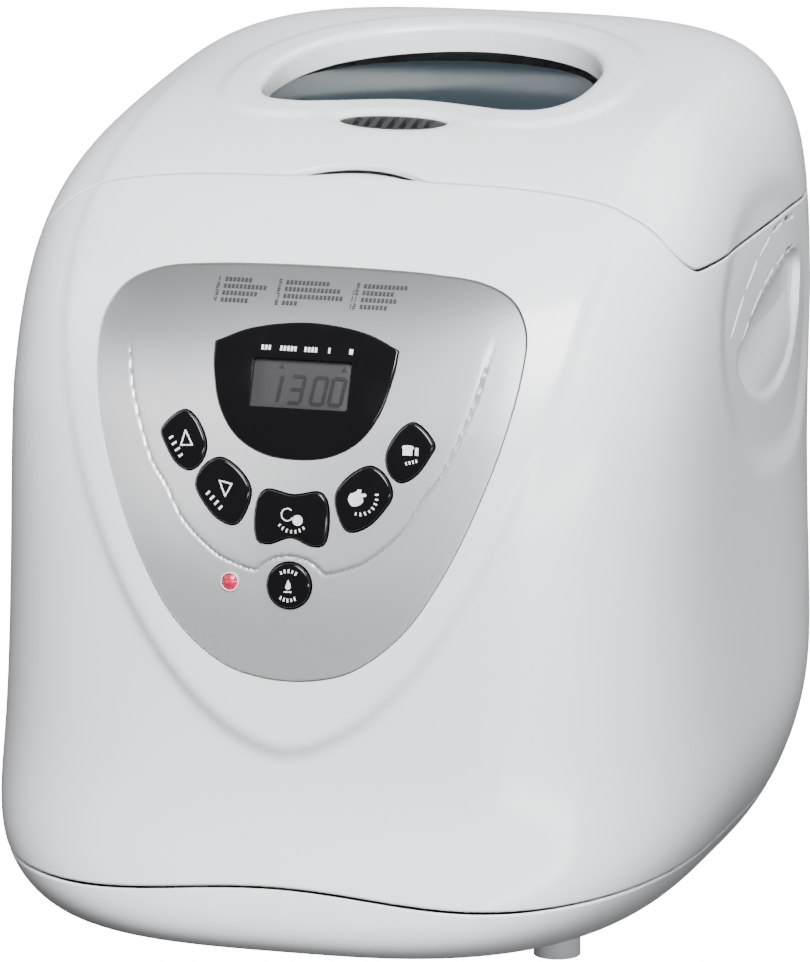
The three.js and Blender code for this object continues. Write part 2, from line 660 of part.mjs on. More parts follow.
function lidShell() {
  const shell = solid(formBand(lidSeam(LID_GAP / 2), windowEdge(0), 5, SHELL_WALL));
  const vent = solid(plate(ventOutline(GAP), onLid, -8, 12, 1));
  const arms = [-1, 1].map((side) => {
    const x = side * HINGE_X;
    const half = KNUCKLE_LENGTH / 2;
    const arm = solid(box(x - half, x + half, HINGE_Y - 7, HINGE_Y - 1, HINGE_Z, HINGE_Z + 9));
    const knuckle = solid(crossRod(KNUCKLE_RADIUS, x - half, x + half, HINGE_Y, HINGE_Z, 24));
    return join(arm, knuckle);
  });
  const bores = [-1, 1].map((side) => solid(crossRod(
    HINGE_PIN_RADIUS + SHAFT_CLEARANCE, side * HINGE_X - 20, side * HINGE_X + 20, HINGE_Y, HINGE_Z)));
  return cut(join(cut(shell, vent, ...hingeNotches(0.2)), ...arms), ...bores);
}

const GLASS_PLANE = onLid(0, WINDOW_FRONT_Y + 14, WINDOW_DROP).z;
const GLASS_SLOPE = 0.07;
const LINER_Z = LID_SIDE_HEIGHT + 10;
const glassHeight = (y) => GLASS_PLANE + GLASS_SLOPE * (y - WINDOW_FRONT_Y);

function lidPieces() {
  add('lid_shell', 'housing', geometryOf(lidShell()));
  const glassAt = (x, y, depth) => new THREE.Vector3(x, y, glassHeight(y) - depth);
  add('lid_window', 'glass', plate(windowOutline(40, 2.4), glassAt, 0, GLASS_THICKNESS, 2));
  const gasketOuter = windowOutline(40, -3);
  const gasketInner = windowOutline(40, 3.4);
  const ring = (outline, depth) => outline.map((p) => glassAt(p.x, p.y, depth));
  const under = GLASS_THICKNESS + 0.3;
  add('window_gasket', 'dark', skin([ring(gasketOuter, under), ring(gasketOuter, under + 2),
    ring(gasketInner, under + 2), ring(gasketInner, under)], 'loop'));
  const linerFrame = [...roundedBox(CHAMBER_HALF_X + 12, CHAMBER_HALF_Y + 10, 5, 48)]
    .map((p) => p.add(new THREE.Vector2(0, CHAMBER_Y)));
  const linerPlate = solid(prism(linerFrame, LINER_Z, LINER_Z + 1.2));
  const linerWall = cut(solid(prism(windowOutline(40, -2), LINER_Z, GLASS_PLANE - GLASS_THICKNESS - 3.4)),
    solid(prism(windowOutline(40, -0.6), LINER_Z - 5, GLASS_PLANE + 20)));
  const linerOpening = solid(prism(windowOutline(40, -1), LINER_Z - 5, LINER_Z + 5));
  const liner = join(cut(linerPlate, linerOpening), linerWall);
  add('lid_liner', 'sheet', geometryOf(liner.intersect(formCore(SHELL_WALL + 1.2))));
  add('steam_vent', 'grey', geometryOf(steamVent()));
}

function steamVent() {
  const outline = ventOutline(0);
  const body = solid(plate(outline, onLid, 1, 4.4, 1));
  const pitch = VENT_HALF_LENGTH * 1.55 / VENT_SLOTS;
  const slots = [...Array(VENT_SLOTS).keys()].map((i) => {
    const x = (i - (VENT_SLOTS - 1) / 2) * pitch;
    const half = VENT_HALF_WIDTH * Math.sqrt(1 - (x / VENT_HALF_LENGTH) ** 2) - 1.2;
    return solid(box(x - pitch * 0.27, x + pitch * 0.27, VENT_Y - half, VENT_Y + half, 250, 320));
  });
  return cut(body, ...slots);
}

function hinges() {
  for (const [name, side] of [['left', -1], ['right', 1]]) {
    const x = side * HINGE_X;
    const inner = KNUCKLE_LENGTH / 2 + 0.5;
    const outer = inner + 6;
    const pinEnd = outer + 0.8;
    add(`hinge_pin_${name}`, 'steel', crossRod(HINGE_PIN_RADIUS, x - pinEnd, x + pinEnd, HINGE_Y, HINGE_Z));
    const cheeks = [[x - outer, x - inner], [x + inner, x + outer]].map(([from, to]) => join(
      solid(crossRod(KNUCKLE_RADIUS, from, to, HINGE_Y, HINGE_Z, 24)),
      solid(box(from, to, HINGE_Y - 13, HINGE_Y, HINGE_Z - 6.5, HINGE_Z - 1))));
    const foot = solid(box(x - outer, x + outer, HINGE_Y - 16, HINGE_Y - 11.5, DECK_TOP + 0.4, HINGE_Z - 4.6));
    const bore = solid(crossRod(HINGE_PIN_RADIUS + SHAFT_CLEARANCE, x - 30, x + 30, HINGE_Y, HINGE_Z));
    add(`hinge_bracket_${name}`, 'dark', geometryOf(cut(join(foot, ...cheeks), bore)));
  }
}

// ---- baking chamber and heater ----------------------------------------------------------------
const chamberOutline = (margin) => roundedBox(CHAMBER_HALF_X + margin, CHAMBER_HALF_Y + margin, 6, 40);
const chamberPrism = (margin, low, high) => solid(prism(chamberOutline(margin), low, high, 0, CHAMBER_Y));
const HEATER_Z = CHAMBER_FLOOR + CHAMBER_WALL + 12;
const SENSOR_Z = CHAMBER_FLOOR + 56;
const HEATER_EXITS = [-9, 9];

function bakingChamber() {
  const rim = chamberPrism(7, DECK_TOP + 0.4, DECK_TOP + 1.6);
  const tub = chamberPrism(0, CHAMBER_FLOOR, DECK_TOP + 1.6);
  const hollow = chamberPrism(-CHAMBER_WALL, CHAMBER_FLOOR + CHAMBER_WALL, DECK_TOP + 20);
  const shaftHole = solid(rod(SHAFT_RADIUS + 2, CHAMBER_FLOOR - 5, CHAMBER_FLOOR + 5, 0, CHAMBER_Y));
  const sensorHole = solid(crossRod(3, CHAMBER_HALF_X - 10, CHAMBER_HALF_X + 10, CHAMBER_Y, SENSOR_Z));
  const heaterHoles = HEATER_EXITS.map((dy) => solid(crossRod(
    HEATER_ROD + 1.6, -CHAMBER_HALF_X - 10, -CHAMBER_HALF_X + 10, CHAMBER_Y + dy, HEATER_Z)));
  return cut(join(rim, tub), hollow, shaftHole, sensorHole, ...heaterHoles);
}

function heatingElement() {
  const halfX = (PAN_HALF_X + CHAMBER_HALF_X) / 2 - 0.5;
  const halfY = (PAN_HALF_Y + CHAMBER_HALF_Y) / 2 - 0.5;
  const turn = roundedBox(halfX, halfY, 4.5, 36).map((p) => new THREE.Vector3(p.x, p.y + CHAMBER_Y, HEATER_Z));
  const loop = [...turn.slice(20), ...turn.slice(0, 17)];
  const tail = (dy) => [new THREE.Vector3(-CHAMBER_HALF_X - 9, CHAMBER_Y + dy, HEATER_Z),
    new THREE.Vector3(-CHAMBER_HALF_X + 5, CHAMBER_Y + dy, HEATER_Z)];
  const route = [...tail(HEATER_EXITS[0]), ...loop, ...tail(HEATER_EXITS[1]).reverse()];
  const path = new THREE.CatmullRomCurve3(route, false, 'centripetal');
  const section = new THREE.Shape(circle(HEATER_ROD, 6).map(([x, y]) => new THREE.Vector2(x, y)));
  return new THREE.ExtrudeGeometry(section, { steps: 48, extrudePath: path, bevelEnabled: false });
}

const UPSTAND_HALF = BODY_WIDTH / 2 - 36;

function topDeck() {
  const front = LID_FRONT_Y + 4;
  const level = solid(box(-BODY_WIDTH, BODY_WIDTH, front, BODY_DEPTH, DECK_TOP - 2, DECK_TOP));
  const upstand = solid(box(-UPSTAND_HALF, UPSTAND_HALF, front, front + 2, DECK_TOP - 2, DECK_TOP + 24));
  const deck = join(level, upstand).intersect(formCore(SHELL_WALL + 1.3));
  return cut(deck, chamberPrism(GAP, 0, 400), ...hingeNotches(GAP));
}

function chamberPieces() {
  add('baking_chamber', 'sheet', geometryOf(bakingChamber()));
  add('top_deck', 'housing', geometryOf(topDeck()));
  add('heating_element', 'steel', heatingElement());
  add('temperature_sensor', 'steel', crossRod(2.4, PAN_HALF_X + 7, CHAMBER_HALF_X + 8, CHAMBER_Y, SENSOR_Z, 12));
  const clipTop = HEATER_Z - HEATER_ROD - 0.3;
  const clipY = (PAN_HALF_Y + CHAMBER_HALF_Y) / 2;
  for (const [name, side] of [['front', -1], ['rear', 1]]) {
    const y = CHAMBER_Y + side * (clipY - 0.5);
    add(`heater_support_${name}`, 'nylon', box(-7, 7, y - 4, y + 4, CHAMBER_FLOOR + CHAMBER_WALL + 0.3, clipTop));
  }
}

// ---- drive ------------------------------------------------------------------------------------
const PAN_SKIRT_RADIUS = 40;
const DOG_RADIUS = 13;

function drivePieces() {
  const bore = SHAFT_RADIUS + SHAFT_CLEARANCE;
  const pulleyTop = PULLEY_FLOOR + PULLEY_WIDTH;
  const underChamber = CHAMBER_FLOOR - 0.4;
  add('bearing_bracket', 'cast', turned([[bore, 38], [10, 38], [10, underChamber - 6], [34, underChamber - 5],
    [34, underChamber], [bore, underChamber]], 0, CHAMBER_Y));
  add('drive_shaft', 'steel', rod(SHAFT_RADIUS, PULLEY_FLOOR - 2, CHAMBER_FLOOR + 3, 0, CHAMBER_Y, 20));
  add('drive_pulley', 'nylon', pulley(BIG_PULLEY_RADIUS, bore, 28).translate(0, CHAMBER_Y, 0));
  const dogFloor = CHAMBER_FLOOR + 3.4;
  const lugs = [-1, 1].map((side) => solid(box(side * 9 - 2.5, side * 9 + 2.5, CHAMBER_Y - 3.5, CHAMBER_Y + 3.5,
    dogFloor, dogFloor + 6.7)));
  const dogPlate = solid(rod(DOG_RADIUS, dogFloor, dogFloor + 2.6, 0, CHAMBER_Y));
  add('drive_coupling', 'cast', geometryOf(join(dogPlate, ...lugs)));
  add('pan_lock_ring', 'sheet', turned([[PAN_SKIRT_RADIUS + 2, CHAMBER_FLOOR + CHAMBER_WALL + 0.3],
    [PAN_SKIRT_RADIUS + 4, CHAMBER_FLOOR + CHAMBER_WALL + 0.3], [PAN_SKIRT_RADIUS + 4, CHAMBER_FLOOR + 7],
    [PAN_SKIRT_RADIUS + 2, CHAMBER_FLOOR + 7]], 0, CHAMBER_Y, 32));
  const can = [[0, pulleyTop + 14], [7, pulleyTop + 14], [7, pulleyTop + 17], [MOTOR_RADIUS, pulleyTop + 17],
    [MOTOR_RADIUS, pulleyTop + 17 + MOTOR_HEIGHT - 4], [MOTOR_RADIUS - 4, pulleyTop + 17 + MOTOR_HEIGHT],
    [0, pulleyTop + 17 + MOTOR_HEIGHT]];
  add('motor', 'cast', turned(can, 0, MOTOR_Y));
  add('motor_pulley', 'steel', motorPulley(pulleyTop));
  const bracket = cut(
    join(solid(box(-46, 46, MOTOR_Y - 26, MOTOR_Y + 26, pulleyTop + 10.4, pulleyTop + 13.4)),
      ...[-1, 1].map((side) => solid(box(side * 44 - 2, side * 44 + 2, MOTOR_Y - 26, MOTOR_Y + 26,
        FOOT_HEIGHT + SHELL_WALL + 0.4, pulleyTop + 13.4)))),
    solid(rod(SHAFT_RADIUS + 4, 0, 100, 0, MOTOR_Y)));
  add('motor_bracket', 'sheet', geometryOf(bracket));
  add('drive_belt', 'dark', driveBelt());
}

function pulley(radius, bore, teeth) {
  const rim = [[bore, PULLEY_FLOOR], [radius - 0.8, PULLEY_FLOOR], [radius - 0.8, PULLEY_FLOOR + PULLEY_WIDTH],
    [bore, PULLEY_FLOOR + PULLEY_WIDTH]];
  const wheel = solid(turned(rim, 0, 0, teeth));
  const flanges = solid(turned([[radius - 5, PULLEY_FLOOR - 1.4], [radius + 2.6, PULLEY_FLOOR - 1.4],
    [radius + 2.6, PULLEY_FLOOR], [radius - 5, PULLEY_FLOOR]], 0, 0, teeth));
  return geometryOf(join(wheel, flanges));
}

function motorPulley(top) {
  const profile = [[0, PULLEY_FLOOR - 2], [SMALL_PULLEY_RADIUS - 0.8, PULLEY_FLOOR - 2],
    [SMALL_PULLEY_RADIUS - 0.8, top + 1], [SHAFT_RADIUS, top + 1], [SHAFT_RADIUS, top + 13.6], [0, top + 13.6]];
  return turned(profile, 0, MOTOR_Y, 16);
}

function driveBelt() {
  const loop = (margin) => {
    const [big, small] = [BIG_PULLEY_RADIUS + margin, SMALL_PULLEY_RADIUS + margin];
    const lean = Math.asin((big - small) / (CHAMBER_Y - MOTOR_Y));
    const points = [];
    for (let i = 0; i <= 20; i++) {
      const a = -lean + (Math.PI + 2 * lean) * i / 20;
      points.push(new THREE.Vector2(big * Math.cos(a), CHAMBER_Y + big * Math.sin(a)));
    }
    for (let i = 0; i <= 8; i++) {
      const a = Math.PI + lean + (Math.PI - 2 * lean) * i / 8;
      points.push(new THREE.Vector2(small * Math.cos(a), MOTOR_Y + small * Math.sin(a)));
    }
    return points;
  };
  const shape = new THREE.Shape(loop(BELT_THICKNESS));
  shape.holes.push(new THREE.Path(loop(0)));
  const geometry = new THREE.ExtrudeGeometry(shape, { depth: PULLEY_WIDTH - 1.6, bevelEnabled: false });
  return geometry.translate(0, 0, PULLEY_FLOOR + 0.8);
}

// ---- bread pan ----------------------------------------------------------------------------------
const panOutline = (margin) => roundedBox(PAN_HALF_X + margin, PAN_HALF_Y + margin, 5, 36);
const panPrism = (margin, low, high) => solid(prism(panOutline(margin), low, high, 0, CHAMBER_Y));
const PIVOT_Z = PAN_RIM + HANDLE_PIVOT_RISE;
const EAR_BORE = HANDLE_ROD + SHAFT_CLEARANCE;

function breadPan() {
  const wall = panPrism(0, PAN_FLOOR, PAN_RIM);
  const rim = panPrism(3, PAN_RIM - 2, PAN_RIM);
  const hollow = panPrism(-PAN_WALL, PAN_FLOOR + 2, PAN_RIM + 20);
  const bushHole = solid(rod(9 + GAP, PAN_FLOOR - 5, PAN_FLOOR + 5, 0, CHAMBER_Y));
  const ears = [-1, 1].map((side) => {
    const [from, to] = side > 0 ? [PAN_HALF_X - PAN_WALL, PAN_HALF_X] : [-PAN_HALF_X, -PAN_HALF_X + PAN_WALL];
    const tab = solid(box(from, to, CHAMBER_Y - 8, CHAMBER_Y + 8, PAN_RIM - 6, PIVOT_Z));
    return join(tab, solid(crossRod(8, from, to, CHAMBER_Y, PIVOT_Z, 24)));
  });
  const bores = [-1, 1].map((side) => solid(crossRod(
    EAR_BORE, side * PAN_HALF_X - 10, side * PAN_HALF_X + 10, CHAMBER_Y, PIVOT_Z)));
  return cut(join(cut(join(wall, rim), hollow, bushHole), ...ears), ...bores);
}

// The bail lies forwards over the rim at rest and swings over to the back.
function panHandle() {
  const side = PAN_HALF_X + 3.4;
  const path = new THREE.CatmullRomCurve3([
    [-side, 0], [-side, 9], [-side + 7, 22], [-side + 24, 37], [-side + 48, HANDLE_REACH - 6], [0, HANDLE_REACH],
    [side - 48, HANDLE_REACH - 6], [side - 24, 37], [side - 7, 22], [side, 9], [side, 0],
  ].map(([x, reach]) => new THREE.Vector3(x, CHAMBER_Y - reach, PIVOT_Z)), false, 'centripetal');
  const section = new THREE.Shape(circle(HANDLE_ROD, 6).map(([x, y]) => new THREE.Vector2(x, y)));
  const bail = solid(new THREE.ExtrudeGeometry(section, { steps: 24, extrudePath: path, bevelEnabled: false }));
  const pins = [-1, 1].map((end) => {
    const [from, to] = end > 0 ? [PAN_HALF_X - 4, side + 1.6] : [-side - 1.6, -PAN_HALF_X + 4];
    return solid(crossRod(HANDLE_ROD, from, to, CHAMBER_Y, PIVOT_Z, 16));
  });
  return join(bail, ...pins);
}

function panPieces() {
  add('bread_pan', 'pan', geometryOf(breadPan()));
  add('pan_handle', 'steel', geometryOf(panHandle()));
  add('pan_skirt', 'cast', turned([[PAN_SKIRT_RADIUS - 2, CHAMBER_FLOOR + 4], [PAN_SKIRT_RADIUS, CHAMBER_FLOOR + 4],
    [PAN_SKIRT_RADIUS, PAN_FLOOR - 0.4], [PAN_SKIRT_RADIUS - 2, PAN_FLOOR - 0.4]], 0, CHAMBER_Y, 32));
  const bore = SHAFT_RADIUS + SHAFT_CLEARANCE;
  const bushFloor = PAN_FLOOR - 4.4;
  add('pan_bush', 'brass', turned([[bore, bushFloor], [14, bushFloor], [14, PAN_FLOOR - 0.4], [9, PAN_FLOOR - 0.4],
    [9, PAN_FLOOR + 7], [bore, PAN_FLOOR + 7]], 0, CHAMBER_Y));
  const dogTop = PAN_FLOOR - 8.8;
  add('pan_coupling', 'cast', geometryOf(join(
    solid(rod(DOG_RADIUS, dogTop - 2.6, dogTop, 0, CHAMBER_Y)),
    solid(box(-3.4, 3.4, CHAMBER_Y - 11, CHAMBER_Y + 11, dogTop - 6, dogTop - 1)))));
  add('pan_shaft', 'steel', rod(SHAFT_RADIUS, dogTop + 0.4, PAN_FLOOR + 30, 0, CHAMBER_Y, 20));
  add('kneading_paddle', 'cast', geometryOf(kneadingPaddle(bore)));
}

function kneadingPaddle(bore) {
  const floor = PAN_FLOOR + 8;
  const hub = solid(turned([[bore, floor], [10, floor], [8, floor + 24], [bore, floor + 24]], 0, CHAMBER_Y));
  const blade = new THREE.Shape([new THREE.Vector2(6, 0), new THREE.Vector2(PADDLE_REACH, 0),
    new THREE.Vector2(PADDLE_REACH, 8), new THREE.Vector2(PADDLE_REACH - 12, 22), new THREE.Vector2(6, 20)]);
  const fin = new THREE.ExtrudeGeometry(blade, { depth: 4, bevelEnabled: false })
    .translate(0, 0, -2).rotateX(Math.PI / 2).rotateZ(0.5).translate(0, CHAMBER_Y, floor);
  return join(hub, solid(fin));
}

// ---- fasteners and cord inlet ---------------------------------------------------------------------
const SCREW_X = BODY_WIDTH / 2 - 78;
const SCREW_Y = BODY_DEPTH / 2 - 52;
const BASE_SCREWS = {
  front_left: [-SCREW_X, -SCREW_Y],
  front_right: [SCREW_X, -SCREW_Y],
  rear_left: [-SCREW_X, SCREW_Y],
  rear_right: [SCREW_X, SCREW_Y],
};

function screwHole([x, y]) {
  return solid(rod(2.2, FOOT_HEIGHT - 5, FOOT_HEIGHT + 10, x, y, 16));
}

function basePieces() {
  add('base_tray', 'housing', geometryOf(cut(baseTray(), ...Object.values(BASE_SCREWS).map(screwHole))));
  feet();
  for (const [name, [x, y]] of Object.entries(BASE_SCREWS)) {
    const head = FOOT_HEIGHT - 0.4;
    const profile = [[0, head - 2], [SCREW_RADIUS - 0.8, head - 2], [SCREW_RADIUS, head], [1.7, head],
      [1.7, head + 14], [0, head + 16]];
    add(`base_screw_${name}`, 'steel', turned(profile, x, y, 10));
  }
}

function cordGland() {
  const seat = -SHELL_WALL - 1.9;
  const body = turned([[4, seat - 5], [CORD_GLAND.radius + 2.5, seat - 5], [CORD_GLAND.radius + 2.5, seat],
    [CORD_GLAND.radius, seat], [CORD_GLAND.radius, -0.2], [4, -0.2]], 0, 0, 24);
  return body.rotateX(-Math.PI / 2).translate(CORD_GLAND.x, CORD_GLAND_Y - 0.3, CORD_GLAND.z);
}

basePieces();
add('housing_shell', 'housing', geometryOf(housing()));
add('cord_gland', 'dark', cordGland());
panelPieces();
electronics();
chamberPieces();
drivePieces();
panPieces();
lidPieces();
hinges();

export default breadMachine;
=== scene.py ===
"""Bread machine: fine outer surfaces and finishes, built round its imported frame."""
import math

import bmesh
import bpy
import numpy as np
from bpy.props import FloatProperty, FloatVectorProperty, PointerProperty
from mathutils import Matrix, Vector


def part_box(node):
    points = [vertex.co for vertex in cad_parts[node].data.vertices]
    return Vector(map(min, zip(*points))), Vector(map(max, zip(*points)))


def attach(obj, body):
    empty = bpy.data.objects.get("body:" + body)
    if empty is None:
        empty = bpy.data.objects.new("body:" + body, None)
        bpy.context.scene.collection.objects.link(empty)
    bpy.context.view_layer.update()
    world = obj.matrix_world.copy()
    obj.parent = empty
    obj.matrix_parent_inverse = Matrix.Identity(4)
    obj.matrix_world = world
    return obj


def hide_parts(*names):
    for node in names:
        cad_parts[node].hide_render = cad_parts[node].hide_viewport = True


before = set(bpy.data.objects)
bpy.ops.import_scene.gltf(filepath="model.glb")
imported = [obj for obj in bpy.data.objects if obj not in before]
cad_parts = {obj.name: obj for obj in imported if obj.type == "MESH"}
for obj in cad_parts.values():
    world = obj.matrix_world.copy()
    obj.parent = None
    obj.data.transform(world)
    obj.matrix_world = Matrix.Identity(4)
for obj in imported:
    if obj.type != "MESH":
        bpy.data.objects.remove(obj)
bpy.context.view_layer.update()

bl_info = {
    "name": "Bread Machine",
    "version": (1, 0, 0),
    "blender": (4, 5, 0),
    "location": "3D View > Sidebar > Bread Machine",
    "description": "Builds the shells, panel, pan and finishes of a countertop bread machine",
    "category": "Add Mesh",
}

MM = 0.001
bpy.ops.object.select_all(action="DESELECT")


# ---- the outer form ------------------------------------------------------------------------
# Control hoops from the base to the crown, in millimetres: front y and z, back y and z, half
# width. They shape one smooth surface whose cross-sections are rounded rectangles.
BODY_WIDTH, BODY_DEPTH = 268.0, 328.0
DRAWN_WIDTH, DRAWN_DEPTH, DRAWN_MIDDLE = 267.5, 327.9, -6.2
HOOPS = np.array([
    [-150, 9, 125, 9, 95],
    [-168, 9, 152, 9, 112],
    [-175, 23, 158, 62, 136],
    [-154, 59, 158, 102, 133],
    [-150, 142, 153, 172, 129],
    [-133, 233, 146, 254, 132],
    [-77, 279, 143, 309, 122],
    [-6, 298, 111, 319, 83],
    [50, 300, 50, 300, 0.5],
], float)
HOOPS[:, (0, 2)] = (HOOPS[:, (0, 2)] - DRAWN_MIDDLE) * BODY_DEPTH / DRAWN_DEPTH
HOOPS[:, 4] *= BODY_WIDTH / DRAWN_WIDTH
KNOTS = np.array([0, 0, 0, 0, 1, 2, 3, 4, 5, 6, 6, 6, 6], float) / 6
SQUARENESS = ((0, 0.6, 1), (3, 4.2, 3.4))


def basis(t):
    """Weights of the control hoops at each t, by the Cox-de Boor recursion."""
    t = np.clip(np.atleast_1d(t), 0, 1 - 1e-9)
    rows = [((KNOTS[i] <= t) & (t < KNOTS[i + 1])).astype(float) for i in range(len(KNOTS) - 1)]
    for degree in (1, 2, 3):
        raised = []
        for i in range(len(rows) - 1):
            left = KNOTS[i + degree] - KNOTS[i]
            right = KNOTS[i + degree + 1] - KNOTS[i + 1]
            value = np.zeros_like(t)
            if left > 0:
                value = value + (t - KNOTS[i]) / left * rows[i]
            if right > 0:
                value = value + (KNOTS[i + degree + 1] - t) / right * rows[i + 1]
            raised.append(value)
        rows = raised
    return np.stack(rows, -1)


def form_at(t, across, along):
    """Points of the form, in mm: across is -1..1 over the width, along is -1..1 front to back."""
    front_y, front_z, back_y, back_z, half = (basis(t) @ HOOPS).T
    return np.stack([
        half * across,
        (front_y + back_y) / 2 + (back_y - front_y) / 2 * along,
        (front_z + back_z) / 2 + (back_z - front_z) / 2 * along,
    ], -1)


def form(t, angle):
    t, angle = np.broadcast_arrays(np.asarray(t, float), np.asarray(angle, float))
    power = np.interp(t.ravel(), *SQUARENESS)
    c, s = np.cos(angle.ravel()), np.sin(angle.ravel())
    reach = (np.abs(c) ** power + np.abs(s) ** power) ** (1 / power)
    return form_at(t.ravel(), c / reach, s / reach).reshape(t.shape + (3,))


def unit(v):
    return v / np.maximum(np.linalg.norm(v, axis=-1, keepdims=True), 1e-12)


def form_normal(t, angle):
    step = 0.003
    t = np.clip(t, 0, 0.996)
    up = form(np.minimum(t + step, 0.999), angle) - form(np.maximum(t - step, 0), angle)
    return unit(np.cross(form(t, angle + step) - form(t, angle - step), up))


# The front face has its own coordinates: x across, and s measured up the centre line, counted
# so that s is DATUM_S at the height of DATUM_Z. RISING holds the points below the crown.
DATUM_S, DATUM_Z, RISING = 153, 150, slice(800)
FACE_T = np.linspace(0, 0.99, 1200)
FACE_CENTRE = form(FACE_T, -math.pi / 2)
FACE_S = np.concatenate([[0], np.cumsum(np.linalg.norm(np.diff(FACE_CENTRE, axis=0), axis=1))])
FACE_S += DATUM_S - np.interp(DATUM_Z, FACE_CENTRE[RISING, 2], FACE_S[RISING])


def face_surface(x, s):
    x, s = np.broadcast_arrays(np.asarray(x, float), np.asarray(s, float))
    t = np.interp(s.ravel(), FACE_S, FACE_T)
    power = np.interp(t, *SQUARENESS)
    half = (basis(t) @ HOOPS)[:, 4]
    across = np.minimum(np.abs(x.ravel()) / half, 0.999)
    along = -((1 - across ** power) ** (1 / power))
    return form_at(t, np.sign(x.ravel()) * across, along).reshape(x.shape + (3,))


def face_normal(x, s):
    step = 0.6
    up = face_surface(x, np.add(s, step)) - face_surface(x, np.subtract(s, step))
    right = face_surface(np.add(x, step), s) - face_surface(np.subtract(x, step), s)
    return unit(np.cross(right, up))


def face_point(x, s, depth=0.0):
    return face_surface(x, s) - face_normal(x, s) * np.asarray(depth, float)[..., None]


def face_at(level):
    """Places points at depths counted from this depth in the face."""
    return lambda x, s, depth: face_point(x, s, level + depth)


# ---- seams and reliefs of the shells ---------------------------------------------------------
BASE_SEAM_HEIGHT, BASE_SEAM_WAVE, BASE_SEAM_PITCH = 32.5, 2.6, 82.0
LID_FRONT_Y, LID_SIDE_HEIGHT, LID_SIDE_SLOPE, LID_CORNER = -64.3, 246.0, 0.045, 13.0
NOTCH_HALF_WIDTH, NOTCH_DEPTH, SCOOP_DEPTH = 26.0, 8.0, 3.6
SEAM_GAP = 0.9
SHELL_WALL = 2.6
EDGE_ROUND = 0.8
BIB_HALF_WIDTH, BIB_TOP_S, BIB_REACH, BIB_POWER = 99.0, 270.0, 186.0, 1.75


def smooth_step(low, high, value):
    share = np.clip((value - low) / (high - low), 0, 1)
    return share * share * (3 - 2 * share)


def base_seam_height(points):
    return BASE_SEAM_HEIGHT + BASE_SEAM_WAVE * np.cos(math.pi * points[..., 0] / BASE_SEAM_PITCH)


def notch_reach(points):
    """How far the finger notch reaches back from the lid's front edge."""
    return np.maximum(0, 1 - (points[..., 0] / NOTCH_HALF_WIDTH) ** 2) * NOTCH_DEPTH


def inside_lid(points):
    """Positive inside the lid: behind its front edge and above its side edge, round at the corner."""
    behind = points[..., 1] - (LID_FRONT_Y + notch_reach(points)) - LID_CORNER
    side = LID_SIDE_HEIGHT + LID_SIDE_SLOPE * (points[..., 1] - LID_FRONT_Y - LID_CORNER)
    above = points[..., 2] - side - LID_CORNER
    corner = LID_CORNER - np.hypot(behind, above)
    return np.where((behind < 0) & (above < 0), corner, np.minimum(behind, above) + LID_CORNER)


def closed_curve(points, count):
    """Evenly spaced points on a smooth closed curve through the given ones (centripetal)."""
    p = np.asarray(points, float)
    n = len(p)
    fine = []
    for i in range(n):
        a, b, c, d = (p[(i + k) % n] for k in (-1, 0, 1, 2))
        ka, kb, kc = (max(np.linalg.norm(v), 1e-9) ** 0.5 for v in (b - a, c - b, d - c))
        m1 = (c - b + kb * ((b - a) / ka - (c - a) / (ka + kb)))
        m2 = (c - b + kb * ((d - c) / kc - (d - b) / (kb + kc)))
        u = np.linspace(0, 1, 24, endpoint=False)[:, None]
        fine.append((2 * u ** 3 - 3 * u ** 2 + 1) * b + (u ** 3 - 2 * u ** 2 + u) * m1
                    + (-2 * u ** 3 + 3 * u ** 2) * c + (u ** 3 - u ** 2) * m2)
    fine = np.concatenate(fine)
    return even(np.vstack([fine, fine[:1]]), count + 1)[:-1]


def even(path, count):
    """The path with evenly spaced points."""
    path = np.asarray(path, float)
    length = np.concatenate([[0], np.cumsum(np.linalg.norm(np.diff(path, axis=0), axis=1))])
    at = np.linspace(0, length[-1], count)
    return np.stack([np.interp(at, length, path[:, k]) for k in range(path.shape[1])], -1)


def mirrored(half):
    """A half outline from top to bottom on the right, closed by its mirror image."""
    return [*half, *[(-x, y) for x, y in reversed(half) if x > 0.01]]


def offset_from(points, a, b):
    """How far each point lies from the nearest point of a straight edge, as a vector."""
    edge = b - a
    share = np.clip(((points - a) @ edge) / max(edge @ edge, 1e-12), 0, 1)
    return points - a - share[:, None] * edge


def signed_distance(points, outline):
    """Distance in the plane to a closed outline, positive inside it."""
    flat = points.reshape(-1, 2)
    best = np.full(len(flat), np.inf)
    inside = np.zeros(len(flat), bool)
    for a, b in zip(outline, np.roll(outline, -1, axis=0)):
        best = np.minimum(best, np.linalg.norm(offset_from(flat, a, b), axis=1))
        if a[1] != b[1]:
            spans = (a[1] > flat[:, 1]) != (b[1] > flat[:, 1])
            inside ^= spans & (flat[:, 0] < (b[0] - a[0]) * (flat[:, 1] - a[1]) / (b[1] - a[1]) + a[0])
    return np.where(inside, best, -best).reshape(points.shape[:-1])


WINDOW_HALF_WIDTH, WINDOW_FRONT_Y, WINDOW_BACK_Y = 62.0, -6.0, 90.0
W = WINDOW_HALF_WIDTH
WINDOW = closed_curve(mirrored([
    (0, WINDOW_BACK_Y), (W * 0.5, WINDOW_BACK_Y - 7), (W * 0.8, WINDOW_BACK_Y - 22),
    (W * 0.97, WINDOW_BACK_Y - 44), (W, WINDOW_BACK_Y - 62), (W * 0.96, WINDOW_FRONT_Y + 12),
    (W * 0.84, WINDOW_FRONT_Y + 1), (W * 0.66, WINDOW_FRONT_Y - 1), (W * 0.4, WINDOW_FRONT_Y + 5),
    (0, WINDOW_FRONT_Y + 9)]), 240)


